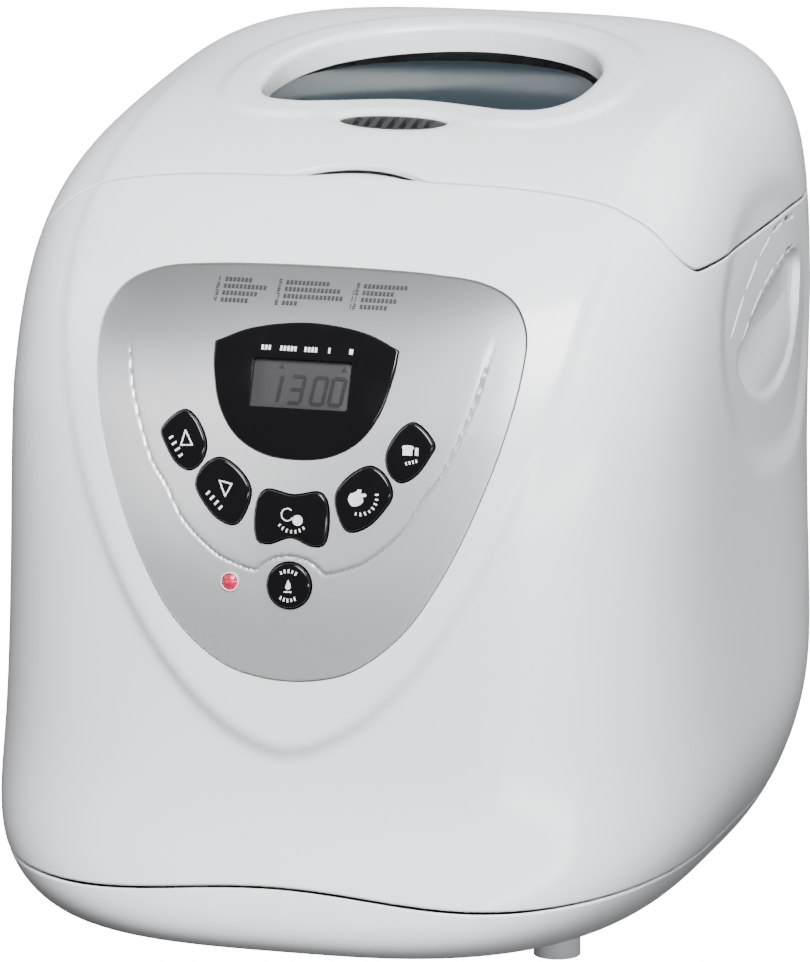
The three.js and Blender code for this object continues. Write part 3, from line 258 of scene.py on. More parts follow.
def crossing(value, angles, low, high):
    """The t at each angle where value, a function of points of the form, turns positive."""
    low = np.full(angles.shape, float(low))
    high = np.full(angles.shape, float(high))
    for _ in range(34):
        middle = (low + high) / 2
        below = value(form(middle, angles)) < 0
        low, high = np.where(below, middle, low), np.where(below, high, middle)
    return (low + high) / 2


def bib_distance(x, s):
    """Distance inside the edge of the bib, the raised tongue that carries the panel."""
    down = np.maximum(BIB_TOP_S - s, 0) / BIB_REACH
    across = np.abs(x) / BIB_HALF_WIDTH
    value = across ** BIB_POWER + down ** BIB_POWER
    slope = BIB_POWER * np.hypot(across ** (BIB_POWER - 1) / BIB_HALF_WIDTH,
                                 down ** (BIB_POWER - 1) / BIB_REACH)
    return np.clip((1 - value) / np.maximum(slope, 1e-4), -80, 80)


def bib_relief(x, s, front):
    """Height of the bib's rolled edge: raised just inside it and sunk just outside."""
    distance = bib_distance(x, s)
    step = 0.8 + 1.9 * smooth_step(215, 95, s)
    fade = np.where(distance > 0, np.exp(-(distance / 15) ** 2), np.exp(-(distance / 34) ** 2))
    return step * 0.5 * np.tanh(distance / 1.7) * fade * front


# Side: a shallow oval hollow, and in it a ledge with a grip recess below, drawn in y and z.
HOLLOW_DEPTH = 1.5
HOLLOW = closed_curve([(8, 262), (-14, 254), (-28, 243), (-38, 228), (-38, 208), (-22, 182), (6, 164),
                       (40, 158), (74, 164), (92, 186), (98, 214), (90, 240), (70, 258), (38, 265)], 120)
GRIP = closed_curve([(-14, 207), (2, 217), (22, 225), (45, 231), (68, 235.5), (78, 230), (76, 213), (64, 196),
                     (45, 187.5), (25, 186), (8, 190), (-6, 197)], 120)


def side_relief(points):
    """Depth of the hollow and of the grip recess in each side."""
    on_side = np.abs(points[..., 0]) > 100
    depth = np.zeros(points.shape[:-1])
    if not on_side.any():
        return depth
    flat = points[on_side][:, 1:]
    hollow, grip = signed_distance(flat, HOLLOW), signed_distance(flat, GRIP)
    ledge = smooth_step(-20, 60, flat[:, 0])
    # the recess is steep under its upper edge, the ledge, and shallow towards its lower edge
    upper = flat[:, 1] - (207 + 28.5 * np.clip((flat[:, 0] + 14) / 82, 0, 1) ** 0.75)
    slope = smooth_step(-34, 0, upper) * 4.6 + 1.2
    recess = slope * smooth_step(-0.3, 2.4, grip) * (0.8 + 0.2 * ledge)
    depth[on_side] = HOLLOW_DEPTH * smooth_step(-4, 10, hollow) + recess
    return depth


# ---- meshes ------------------------------------------------------------------------------------
def linked(name, data):
    """A new object for this mesh or curve, in the scene."""
    piece = bpy.data.objects.new(name, data)
    bpy.context.scene.collection.objects.link(piece)
    return piece


def added(name, move=Matrix()):
    """Names the object that the last operator added, and moves its mesh."""
    piece = bpy.context.object
    piece.name = name
    piece.data.transform(move)
    return piece


def piece_from(name, points, faces, smooth=True):
    """A piece with these points, in millimetres, and faces."""
    mesh = bpy.data.meshes.new(name)
    mesh.from_pydata((np.asarray(points, float) * MM).tolist(), [], [list(map(int, face)) for face in faces])
    mesh.validate()
    if smooth:
        mesh.shade_smooth()
    return linked(name, mesh)


def grid_faces(rows, columns, closed=True, start=0):
    """Quads between rows of points; a closed row joins its last point to its first."""
    r, c = np.meshgrid(np.arange(rows - 1), np.arange(columns if closed else columns - 1), indexing="ij")
    n = (c + 1) % columns
    quads = np.stack([r * columns + c, r * columns + n, (r + 1) * columns + n, (r + 1) * columns + c], -1)
    return quads.reshape(-1, 4) + start


def skin(rings, ends="open"):
    """Points and faces of closed rings joined in order; ends is open, loop or fan."""
    rings = np.asarray(rings, float)
    rows, columns = rings.shape[:2]
    if ends == "loop":
        rings = np.concatenate([rings, rings[:1]])
        faces = grid_faces(rows + 1, columns)
        faces[faces >= rows * columns] -= rows * columns
        return rings[:-1].reshape(-1, 3), faces.tolist()
    points = rings.reshape(-1, 3)
    faces = grid_faces(rows, columns).tolist()
    if ends == "fan":
        faces.append(list(range(columns))[::-1])
        faces.append(list(range((rows - 1) * columns, rows * columns)))
    return points, faces


def face_out(piece):
    """Turns the faces outwards, after doubles are merged."""
    bm = bmesh.new()
    bm.from_mesh(piece.data)
    bmesh.ops.remove_doubles(bm, verts=bm.verts, dist=1e-7)
    bmesh.ops.recalc_face_normals(bm, faces=bm.faces)
    bm.to_mesh(piece.data)
    bm.free()
    return piece


def only(piece):
    """Makes this piece the only selected and active object."""
    bpy.ops.object.select_all(action="DESELECT")
    piece.select_set(True)
    bpy.context.view_layer.objects.active = piece
    return piece


def add_modifier(piece, kind, **settings):
    """Adds a modifier, sets it and applies it."""
    only(piece)
    modifier = piece.modifiers.new(kind.lower(), kind)
    for key, value in settings.items():
        setattr(modifier, key, value)
    bpy.ops.object.modifier_apply(modifier=modifier.name)
    return piece


def combine(piece, others, operation):
    for other in others:
        add_modifier(piece, "BOOLEAN", object=other, operation=operation, solver="EXACT")
        bpy.data.objects.remove(other)
    return piece


def carve(piece, *cutters):
    """Cuts the cutters out of the piece and removes them."""
    return combine(piece, cutters, "DIFFERENCE")


def merge(piece, *others):
    """Makes one solid of the piece and the others, and removes the others."""
    return combine(piece, others, "UNION")


def bevel(piece, width, segments=2, degrees=50):
    """Rounds the edges sharper than this angle, to a width in millimetres."""
    return add_modifier(piece, "BEVEL", width=width * MM, segments=segments, limit_method="ANGLE",
                        angle_limit=math.radians(degrees))


def joined(name, pieces):
    """One object with the meshes of all the pieces."""
    only(pieces[0])
    for piece in pieces:
        piece.select_set(True)
    if len(pieces) > 1:
        bpy.ops.object.join()
    pieces[0].name = name
    return pieces[0]


def crisp(piece, degrees=35):
    """Smooth shading with sharp edges above this angle."""
    only(piece)
    bpy.ops.object.shade_smooth_by_angle(angle=math.radians(degrees))
    return piece


def solid_plate(name, outline, place, top, bottom, rings=6):
    """A plate whose flat outline is laid on a surface by place(x, s, depth)."""
    outline = np.asarray(outline, float)
    centre = outline.mean(0)
    shares = (np.arange(rings) + 0.5) / (rings - 0.5)

    def ring(share, depth):
        flat = centre + (outline - centre) * share
        return place(flat[:, 0], flat[:, 1], depth)

    over = [ring(share, top) for share in shares]
    under = [ring(share, bottom) for share in shares[::-1]]
    return face_out(piece_from(name, *skin([*over, *under], "fan")))


def paint(piece, finish):
    piece.data.materials.clear()
    piece.data.materials.append(FINISHES[finish])


def finished(piece, body, slot, *nodes, finish=None):
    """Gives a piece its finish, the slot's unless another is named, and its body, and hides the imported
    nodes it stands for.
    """
    paint(piece, finish or slot)
    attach(piece, body)
    if nodes:
        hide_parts(*nodes)


# ---- the shells ------------------------------------------------------------------------------
FRONT_PITCH, HOLLOW_PITCH, SIDE_PITCH, BACK_PITCH = 1.5, 1.7, 3.2, 5.0
END_ROWS = np.array([0, 0.12, 0.3, 0.55, 0.85, 1.3, 2.0])
FAR = 99.0
VENT_HALF_LENGTH, VENT_HALF_WIDTH, VENT_Y, VENT_SLOTS = 20.5, 6.5, -20.5, 7
WINDOW_ROLL = 3.0
WINDOW_RIM = ((0, 1.5), (0, 3), (0.1, 5), (0.2, 7.2), (2.2, 7.4), (2.4, 3.8))


def shell_angles():
    """Angles round the form, close together at the front and where the side hollow is."""
    fine = np.linspace(-math.pi, math.pi, 20001)
    ring = form(np.full(fine.shape, 0.62), fine)
    x, y = ring[:, 0], ring[:, 1]
    length = np.concatenate([[0], np.cumsum(np.linalg.norm(np.diff(ring, axis=0), axis=1))])
    pitch = np.where((np.abs(x) < 112) & (y < -60), FRONT_PITCH, SIDE_PITCH)
    pitch = np.where((np.abs(x) > 110) & (y > -44) & (y < 102), HOLLOW_PITCH, pitch)
    pitch = np.where(y > 130, BACK_PITCH, pitch)
    count = np.concatenate([[0], np.cumsum(np.diff(length) / pitch[1:])])
    total = int(round(count[-1]))
    return np.interp(np.arange(total) / total * count[-1], count, fine)


ANGLES = shell_angles()


def on_form(t):
    """Points and normals of the form at t, in every column."""
    angles = np.broadcast_to(ANGLES, t.shape)
    return form(t, angles), form_normal(t, angles)


def band_rows(low, high, pitch):
    """Rows of t from low to high in every column, close together at both ends, and their distance
    from the nearer end, which is FAR between the close rows."""
    t = low + (high - low) * np.linspace(0, 1, 160)[:, None]
    steps = np.linalg.norm(np.diff(form(t, np.broadcast_to(ANGLES, t.shape)), axis=0), axis=2)
    length = np.concatenate([np.zeros((1, len(ANGLES))), np.cumsum(steps, axis=0)])
    whole, last = length[-1], END_ROWS[-1]
    count = max(int(round(whole.mean() / pitch)), 4)
    places = [(np.full(len(ANGLES), gap), gap) for gap in END_ROWS]
    places += [(last + (whole - 2 * last) * share, FAR) for share in np.linspace(0, 1, count + 1)[1:-1]]
    places += [(whole - gap, gap) for gap in END_ROWS[::-1]]
    rows = [[np.interp(a, length[:, j], t[:, j]) for j, a in enumerate(at)] for at, gap in places]
    return np.array(rows), np.array([gap for at, gap in places])


def lid_relief(points):
    """The soft raised surround of the window, and how its edge rolls down to the glass."""
    height = np.zeros(points.shape[:-1])
    over = points[..., 2] > 262
    flat = points[over][:, :2]
    away = -signed_distance(flat, WINDOW)
    ring = 1.5 * (1 - smooth_step(12.5, 17.5, away))
    ring *= np.maximum(smooth_step(22, 46, np.abs(flat[:, 0])), smooth_step(4, 24, flat[:, 1]))
    lip = np.clip(WINDOW_ROLL - away, 0, WINDOW_ROLL)
    roll = WINDOW_ROLL - np.sqrt(np.maximum(WINDOW_ROLL ** 2 - lip ** 2, 0))
    vent = np.hypot(flat[:, 0] / (VENT_HALF_LENGTH + 5), (flat[:, 1] - VENT_Y) / (VENT_HALF_WIDTH + 4))
    height[over] = ring - roll - 1.1 * (1 - smooth_step(0.72, 1.05, vent))
    return height


def notch_relief(points):
    """Depth of the finger scoop below the arched notch in the lid's front edge."""
    arch = LID_FRONT_Y + notch_reach(points)
    into = points[..., 1] - LID_FRONT_Y
    share = np.clip(into / np.maximum(arch - LID_FRONT_Y, 0.5), 0, 1)
    inside = (np.abs(points[..., 0]) < NOTCH_HALF_WIDTH) & (into > 0) & (points[..., 2] > 240)
    inside &= points[..., 1] < arch
    return np.where(inside, SCOOP_DEPTH * share ** 1.3 * smooth_step(0, 3, arch - LID_FRONT_Y), 0)


def shell_relief(t, points, normals, rounding):
    """How far each point of the form moves out, in mm."""
    s = np.interp(t, FACE_T, FACE_S)
    facing = smooth_step(0.3, 0.7, np.hypot(normals[..., 1], normals[..., 2]))
    facing = facing * (1 - smooth_step(0, 45, points[..., 1]))
    relief = bib_relief(points[..., 0], s, facing)
    return relief - side_relief(points) + lid_relief(points) - notch_relief(points) - rounding[:, None]


def rounded_edge(edge):
    inside = np.clip(EDGE_ROUND - edge, 0, EDGE_ROUND)
    return EDGE_ROUND - np.sqrt(np.maximum(EDGE_ROUND ** 2 - inside ** 2, 0))


def form_shell(name, low, high, pitch, rim=()):
    """A band of the form with a wall, from t = low to high at each angle.

    rim is the profile of a wall round the top opening: pairs of distance out from it and down.
    """
    rows, edge = band_rows(low, high, pitch)
    if rim:
        edge[len(edge) // 2:] = FAR
    points, normals = on_form(rows)
    outside = points + normals * shell_relief(rows, points, normals, rounded_edge(edge))[..., None]
    rings = [outside]
    outward = unit(np.roll(outside[-1], -1, axis=0) - np.roll(outside[-1], 1, axis=0))
    outward = np.stack([outward[:, 1], -outward[:, 0], np.zeros(len(ANGLES))], -1)
    for out, down in rim:
        rings.append((outside[-1] + outward * out - [0, 0, down])[None])
    shares = np.linspace(0.93 if rim else 0.995, 0, 6)[:, None]
    points, normals = on_form(low + (high - low) * shares)
    rings.append(points - normals * (SHELL_WALL + side_relief(points))[..., None])
    return piece_from(name, *skin(np.concatenate(rings), "loop"))


# ---- outlines on the front face, x across and s up the face --------------------------------------
PANEL_GAP = 0.35
SHIELD = closed_curve(mirrored([
    (0, 261), (22, 260.7), (42, 259.6), (60, 256.6), (72, 249.5), (78.6, 237), (79, 220), (75, 198),
    (68, 176), (57, 151), (42.5, 129), (24, 114.5), (8, 110.2)]), 420)
LENS_TOP = [(-34.2, 229.2), (-20, 235.2), (0, 237.8), (20, 235.2), (34.2, 229.2)]
LENS_SIDE = [(34.2, 229.2), (33.4, 220), (30, 206.5), (23, 196), (12.5, 190), (0, 188.4),
             (-12.5, 190), (-23, 196), (-30, 206.5), (-33.4, 220), (-34.2, 229.2)]
OUTER_KEY = [(-8.5, 2.7), (-0.6, 10.2), (4.1, 7.4), (8.5, -1.4), (7, -7.6), (3, -10.6), (-2, -8.4),
             (-7, -1.2)]
INNER_KEY = [(-9.9, 2), (-7.3, 8.2), (-1.8, 11.5), (4.8, 8.6), (10.4, 1.4), (9.3, -5.8), (5.4, -11.4),
             (-1, -9.7), (-7, -3.6)]
CENTRE_KEY = [(-10, 9.4), (0, 8), (10, 9.4), (12.6, 6.4), (13.5, -3.2), (12, -8.6), (8, -9.2), (0, -6.6),
              (-8, -9.2), (-12, -8.6), (-13.5, -3.2), (-12.6, 6.4)]
START_RADIUS = 8.0
LED_CENTRE, LED_RADIUS = (-22.3, 143.7), 2.8
LCD_LOW, LCD_HIGH = (-18.9, 206.4), (17.8, 224.2)


def open_curve(points, count):
    """Evenly spaced points on a smooth open curve through the given ones."""
    p = np.asarray(points, float)
    padded = np.vstack([2 * p[0] - p[1], p, 2 * p[-1] - p[-2]])
    u = np.linspace(0, 1, 16, endpoint=False)[:, None]
    fine = []
    for a, b, c, d in zip(padded, padded[1:], padded[2:], padded[3:]):
        fine.append(0.5 * (2 * b + (c - a) * u + (2 * a - 5 * b + 4 * c - d) * u ** 2
                           + (3 * b - a - 3 * c + d) * u ** 3))
    return even(np.vstack([*fine, p[-1:]]), count)


def oval(half_x, half_y, angles, centre=(0, 0)):
    return np.stack([centre[0] + half_x * np.cos(angles), centre[1] + half_y * np.sin(angles)], -1)


def circle(radius, count=48, centre=(0, 0)):
    return oval(radius, radius, np.arange(count) / count * 2 * math.pi, centre)


def arc(radius, start, end, centre=(0, 0), count=12):
    return oval(radius, radius, np.radians(np.linspace(start, end, count)), centre)


def turned_over(points):
    return [(-x, y) for x, y in points][::-1]


def grown(outline, distance):
    """The outline moved outwards by a distance."""
    ahead = unit(np.roll(outline, -1, axis=0) - np.roll(outline, 1, axis=0))
    x, y = outline[:, 0], outline[:, 1]
    area = np.sum(x * np.roll(y, -1) - y * np.roll(x, -1))
    return outline + np.stack([ahead[:, 1], -ahead[:, 0]], -1) * distance * np.sign(area)


LENS = np.vstack([open_curve(LENS_TOP, 60)[:-1], open_curve(LENS_SIDE, 150)[:-1]])
KEYS = {
    "time_up_button": ((-42.2, 193.3), closed_curve(OUTER_KEY, 72)),
    "time_down_button": ((-26.5, 175.8), closed_curve(INNER_KEY, 72)),
    "loaf_size_button": ((0, 167.6), closed_curve(CENTRE_KEY, 84)),
    "menu_button": ((26.5, 175.8), closed_curve(turned_over(INNER_KEY), 72)),
    "crust_button": ((42.2, 193.3), closed_curve(turned_over(OUTER_KEY), 72)),
    "start_stop_button": ((0, 143.7), circle(START_RADIUS, 64)),
}

# The groove pressed into the panel round the display and the keys, from its faint end on the
# right to the arc over the round key; the left half is its mirror image.
GROOVE = [(68.5, 236), (67, 228), (63.5, 210), (55, 187), (48, 176.5), (40.6, 164.4), (29.4, 154.4),
          (21.7, 150.6), (13.2, 148.4), (10.6, 150.2), (6, 153), (0, 154.1)]
GROOVE_DEPTH, GROOVE_REACH, GROOVE_STEP = 0.8, 0.45, 0.35


def distance_to_path(points, path):
    """Distance to an open path, and its signed side (positive to the right of the path)."""
    flat = points.reshape(-1, 2)
    best = np.full(len(flat), np.inf)
    side = np.zeros(len(flat))
    for a, b in zip(path, path[1:]):
        edge, offset = b - a, offset_from(flat, a, b)
        distance = np.linalg.norm(offset, axis=1)
        nearer = distance < best
        best = np.where(nearer, distance, best)
        side = np.where(nearer, np.sign(edge[0] * offset[:, 1] - edge[1] * offset[:, 0]), side)
    return best.reshape(points.shape[:-1]), -side.reshape(points.shape[:-1])


def panel_relief(x, s):
    """Height of the panel: a fine groove with a soft step across it."""
    away, side = distance_to_path(np.stack([np.abs(x), s], -1), open_curve(GROOVE, 160))
    strength = smooth_step(240, 214, s)
    groove = -GROOVE_DEPTH * np.exp(-(away / GROOVE_REACH) ** 2) * strength
    step = GROOVE_STEP * np.tanh(away * side / 0.8) * np.exp(-(away / 7) ** 2) * strength
    return groove + step


# ---- finishes ------------------------------------------------------------------------------------
MIX_A, MIX_B, MIX_RESULT = 6, 7, 2      # the colour sockets of a Mix node


def shade(colour, share):
    return [c * share for c in colour[:3]]


class Wire:
    """An output of a material's nodes, with the arithmetic of a number."""

    def __init__(self, finish, socket):
        self.finish = finish
        self.socket = socket

    def maths(self, operation, first, second):
        return self.finish.node("ShaderNodeMath", {"operation": operation}, {0: first, 1: second})

    def __add__(self, other):
        return self.maths("ADD", self, other)

    def __radd__(self, other):
        return self.maths("ADD", other, self)

    def __mul__(self, other):
        return self.maths("MULTIPLY", self, other)

    def step(self, low, high):
        """0 below low and 1 above high, smooth between them."""
        return self.finish.node("ShaderNodeMapRange", {"interpolation_type": "SMOOTHSTEP"},
                                {"Value": self, "From Min": low, "From Max": high})


class Finish:
    """A procedural material on object coordinates, measured in millimetres."""

    def __init__(self, name, colour, roughness, metallic=0.0, **constants):
        self.material = bpy.data.materials.new(name)
        self.material.use_nodes = True
        self.tree = self.material.node_tree
        self.shader = self.tree.nodes["Principled BSDF"]
        self.colour = (*colour[:3], 1.0)
        self.set("Base Color", self.colour)
        self.set("Roughness", roughness)
        self.set("Metallic", metallic)
        for key, value in constants.items():
            self.set(key.replace("_", " ").title().replace("Ior", "IOR"), value)
        place = self.node("ShaderNodeTexCoord", {}, {}, "Object")
        self.place = self.node("ShaderNodeVectorMath", {"operation": "SCALE"}, {0: place, "Scale": 1 / MM})

    def set(self, name, value):
        self.fill(self.shader.inputs[name], value)

    def fill(self, socket, value):
        if isinstance(value, Wire):
            self.tree.links.new(value.socket, socket)
        else:
            socket.default_value = value

    def node(self, kind, settings, values, output=0):
        """Adds a node, sets it, fills its sockets and gives the wire of one output."""
        node = self.tree.nodes.new(kind)
        for key, value in settings.items():
            setattr(node, key, value)
        for key, value in values.items():
            self.fill(node.inputs[key], value)
        return Wire(self, node.outputs[output])

    def noise(self, size, detail=3.0, place=None):
        """Noise from 0 to 1 with features about this many millimetres across."""
        values = {"Vector": place or self.place, "Scale": 1 / size, "Detail": detail}
        return self.node("ShaderNodeTexNoise", {}, values, "Fac")

    def stretched(self, scale):
        return self.node("ShaderNodeVectorMath", {"operation": "MULTIPLY"}, {0: self.place, 1: scale})

    def along(self, axis):
        return self.node("ShaderNodeSeparateXYZ", {}, {0: self.place}, axis)

    def mix(self, share, first, second):
        """Colour between two, each a colour or (the first) a wire."""
        first = first if isinstance(first, Wire) else (*first[:3], 1)
        values = {"Factor": share, MIX_A: first, MIX_B: (*second[:3], 1)}
        return self.node("ShaderNodeMix", {"data_type": "RGBA"}, values, MIX_RESULT)

    def tint(self, share, first, second):
        self.set("Base Color", self.mix(share, first, second))

    def bump(self, height, depth):
        """Relief of this many millimetres on the surface."""
        values = {"Height": height, "Distance": depth * MM, "Strength": 1.0}
        self.set("Normal", self.node("ShaderNodeBump", {}, values, "Normal"))

    def mottle(self, size, low, high, roughness=None):
        """Varies the colour between two shades of it, and the roughness between two values."""
        self.tint(self.noise(size).step(0.35, 0.65), shade(self.colour, low), shade(self.colour, high))
        if roughness:
            self.set("Roughness", roughness[0] + self.noise(size * 0.37) * (roughness[1] - roughness[0]))


def moulded(name, colour, roughness=0.3, grain=0.012, size=0.9, **constants):
    """Moulded plastic: an even colour with a trace of orange peel."""
    finish = Finish(name, colour, roughness, **constants)
    finish.mottle(46, 0.985, 1.012, (roughness - 0.03, roughness + 0.04))
    finish.bump(finish.noise(size, 2.0), grain)
    return finish.material


def white_plastic(name, colour):
    finish = Finish(name, colour, 0.3, coat_weight=0.35, coat_roughness=0.12, ior=1.5)
    cloud = finish.noise(60, 2.0).step(0.3, 0.7)
    finish.tint(cloud, shade(colour, 0.985), shade(colour, 1.01))
    finish.set("Roughness", 0.27 + finish.noise(22) * 0.08)
    finish.bump(finish.noise(2.4, 2.0), 0.006)
    return finish.material


def silver_lacquer(name, colour):
    """Metallic lacquer: fine flakes under a satin coat, with painted shade at the top and the tip and a
    painted highlight across the middle left.
    """
    finish = Finish(name, colour, 0.4, 0.55, coat_weight=0.2, coat_roughness=0.2)
    flakes = finish.noise(0.22, 1.0)
    height, across = finish.along("Z"), finish.along("X")
    # painted shade darkens the top and the tip, and a painted highlight lightens a band across the middle
    # left
    top = height.step(196, 244)
    painted_shade_tip = height.step(160, 120)
    painted_highlight = height.step(228, 196) * height.step(140, 178) * across.step(46, -40)
    light = finish.mix(flakes.step(0.3, 0.7), shade(colour, 0.95), shade(colour, 1.07))
    shaded = finish.mix(top * 0.8 + painted_shade_tip * 0.2, light, shade(colour, 0.14))
    # the painted highlight: a pale band mixed into the colour
    finish.tint(painted_highlight * 0.6, shaded, (0.95, 0.96, 0.97))
    finish.set("Roughness", 0.38 + flakes * 0.1)
    finish.bump(flakes, 0.01)
    return finish.material


def gloss_black(name, colour):
    finish = Finish(name, colour, 0.12, coat_weight=0.25, coat_roughness=0.05, ior=1.4)
    smear = finish.noise(9, 3.0, finish.stretched((1, 1, 0.5)))
    finish.set("Roughness", 0.09 + smear.step(0.45, 0.75) * 0.08)
    finish.tint(smear, colour, shade(colour, 1.6))
    finish.bump(finish.noise(3.0, 2.0), 0.004)
    return finish.material


def display_grey(name, colour):
    finish = Finish(name, colour, 0.5, ior=1.3)
    finish.tint(finish.noise(14), shade(colour, 0.92), shade(colour, 1.08))
    finish.bump(finish.noise(0.35, 1.0), 0.004)
    return finish.material


def lamp_red(name, colour):
    finish = Finish(name, colour, 0.18, coat_weight=0.7, coat_roughness=0.05)
    finish.tint(finish.noise(1.2).step(0.4, 0.7), colour, (0.6, 0.03, 0.1))
    finish.set("Emission Color", (0.6, 0.02, 0.08, 1))
    finish.set("Emission Strength", 0.12)
    return finish.material


def tempered_glass(name, colour):
    finish = Finish(name, colour, 0.18, ior=1.1)
    haze = finish.noise(30, 2.0)
    finish.set("Alpha", 0.86 + haze * 0.08)
    finish.set("Roughness", 0.15 + haze * 0.08)
    return finish.material


def drawn_sheet(name, colour):
    """Sheet metal with the faint streaks of rolling and darker patches from heat."""
    finish = Finish(name, colour, 0.34, 1.0)
    streaks = finish.noise(1.1, 3.0, finish.stretched((1, 1, 0.04)))
    heat = finish.noise(34).step(0.45, 0.75)
    finish.tint(heat, shade(colour, 1.02), [c * share for c, share in zip(colour, (0.82, 0.78, 0.72))])
    finish.set("Roughness", 0.26 + streaks * 0.16)
    finish.bump(streaks, 0.012)
    return finish.material


def nonstick(name, colour):
    finish = Finish(name, colour, 0.36, 0.25, coat_weight=0.15, coat_roughness=0.2)
    specks = finish.noise(0.5, 2.0)
    finish.tint(specks.step(0.62, 0.72), colour, [c * 2.6 + 0.02 for c in colour])
    finish.set("Roughness", 0.3 + specks * 0.16)
    finish.bump(specks, 0.02)
    return finish.material


def metal(name, colour, roughness=0.24, grain=0.3, depth=0.006):
    finish = Finish(name, colour, roughness, 1.0)
    fine = finish.noise(grain, 3.0)
    finish.mottle(18, 0.93, 1.05)
    finish.set("Roughness", roughness - 0.05 + fine * 0.12)
    finish.bump(fine, depth)
    return finish.material


def circuit_board(name, colour):
    finish = Finish(name, colour, 0.45)
    tracks = finish.node("ShaderNodeTexBrick", {}, {"Vector": finish.place, "Scale": 0.16}, "Fac")
    finish.tint(tracks, colour, [c * share for c, share in zip(colour, (0.5, 0.6, 0.5))])
    finish.bump(tracks, 0.05)
    return finish.material


def printed(name, colour):
    finish = Finish(name, colour, 0.45)
    finish.mottle(2.0, 0.9, 1.1, (0.4, 0.55))
    return finish.material


FINISHES = {}


def make_finishes(colours):
    """All finishes, by the name of the record's slot or of the print."""
    FINISHES.update(
        housing=white_plastic("white_plastic", colours.housing),
        panel=silver_lacquer("silver_lacquer", colours.panel),
        black=gloss_black("gloss_black", colours.keys),
        lcd=display_grey("display_grey", colours.display),
        led=lamp_red("lamp_red", colours.lamp),
        rubber=moulded("foot_rubber", (0.66, 0.68, 0.69), 0.6, 0.03, 0.6),
        grey=moulded("vent_grey", (0.03, 0.034, 0.036), 0.32),
        glass=tempered_glass("tempered_glass", colours.glass),
        sheet=drawn_sheet("aluminised_sheet", (0.62, 0.63, 0.64)),
        pan=nonstick("nonstick_coating", (0.028, 0.029, 0.031)),
        steel=metal("bright_steel", (0.66, 0.67, 0.68)),
        cast=metal("cast_aluminium", (0.42, 0.43, 0.44), 0.45, 0.7, 0.03),
        brass=metal("sintered_bronze", (0.6, 0.45, 0.18), 0.34),
        board=circuit_board("circuit_board", (0.03, 0.16, 0.06)),
        nylon=moulded("natural_nylon", (0.68, 0.65, 0.58), 0.45),
        dark=moulded("black_plastic", (0.03, 0.031, 0.033), 0.45, 0.02),
        print_dark=printed("dark_print", (0.018, 0.019, 0.021)),
        print_light=printed("white_print", (0.72, 0.73, 0.73)),
        digits=printed("display_digits", (0.002, 0.002, 0.0025)),
        pale=moulded("pale_ring", (0.62, 0.56, 0.57), 0.25),
    )


# ---- pieces of the outside ---------------------------------------------------------------------
def base_seam(offset):
    return crossing(lambda p: p[..., 2] - base_seam_height(p) - offset, ANGLES, 0.05, 0.5)


def lid_seam(offset):
    return crossing(lambda p: inside_lid(p) - offset, ANGLES, 0.4, 0.93)


def window_edge():
    return crossing(lambda p: signed_distance(p[..., :2], WINDOW), ANGLES, 0.86, 0.999)


HINGE_Z, HINGE_X = 253.0, 72.0
PIN_LOW, PIN_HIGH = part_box("hinge_pin_right")
HINGE_Y = (PIN_LOW.y + PIN_HIGH.y) / 2 / MM
KNUCKLE_RADIUS, KNUCKLE_LENGTH, PIN_BORE = 4.2, 11.0, 2.3
ARM_REACH, ARM_RISE = 7.0, 9.0
HINGE_ROOM, HINGE_DEPTH, HINGE_HEADROOM = 9, 13, 7
SCREW_X, SCREW_Y, SCREW_HOLE = 56, 112, 2.2
GLAND_HOLE = 7.4


def block(name, x0, x1, y0, y1, z0, z1):
    """A box between two corners, in millimetres."""
    bpy.ops.mesh.primitive_cube_add(size=1)
    corners = np.array([[x0, y0, z0], [x1, y1, z1]]) * MM
    return added(name, Matrix.Translation(corners.mean(0)) @ Matrix.Diagonal((*(corners[1] - corners[0]), 1)))


def rod(name, radius, length, centre, axis, sides):
    """A cylinder along one axis, in millimetres."""
    bpy.ops.mesh.primitive_cylinder_add(vertices=sides, radius=radius * MM, depth=length * MM)
    turn = Matrix() if axis == "Z" else Matrix.Rotation(math.pi / 2, 4, {"X": "Y", "Y": "X"}[axis])
    return added(name, Matrix.Translation(Vector(centre) * MM) @ turn)


def cross_rod(name, radius, x0, x1, y, z, sides=40):
    """A cylinder along X, in millimetres."""
    return rod(name, radius, x1 - x0, ((x0 + x1) / 2, y, z), "X", sides)


def hinge_arm(name, x):
    """An arm down from the lid's rear edge with a bored knuckle round the hinge pin."""
    half = KNUCKLE_LENGTH / 2
    knuckle = cross_rod("knuckle", KNUCKLE_RADIUS, x - half, x + half, HINGE_Y, HINGE_Z)
    arm = block(name, x - half, x + half, HINGE_Y - ARM_REACH, HINGE_Y - 1, HINGE_Z, HINGE_Z + ARM_RISE)
    merge(arm, knuckle)
    bevel(arm, 0.35)
    return carve(arm, cross_rod("bore", PIN_BORE, x - half - 1, x + half + 1, HINGE_Y, HINGE_Z))


def hinge_notch(name, reach):
    """The room round both hinges, grown by reach."""
    half = KNUCKLE_LENGTH / 2 + HINGE_ROOM + reach
    y0, y1 = HINGE_Y - HINGE_DEPTH, HINGE_Y + HINGE_DEPTH
    z0, z1 = HINGE_Z - HINGE_ROOM - reach, HINGE_Z + HINGE_HEADROOM + reach
    return joined(name, [block(name, x - half, x + half, y0, y1, z0, z1) for x in (-HINGE_X, HINGE_X)])


# rows of louvres: the ends of each, the height along y and the width
SLOT_ROWS = (
    (((-24, -5), (-2, 15), (18, 33), (37, 51), (55, 69)), lambda y: 248 - 0.0047 * (58 - y) ** 2, 2.3),
    (((-12, 1), (4, 20), (23, 36), (40, 51), (54, 68)), lambda y: 236.5 - 0.0045 * (64 - y) ** 2, 1.9),
)


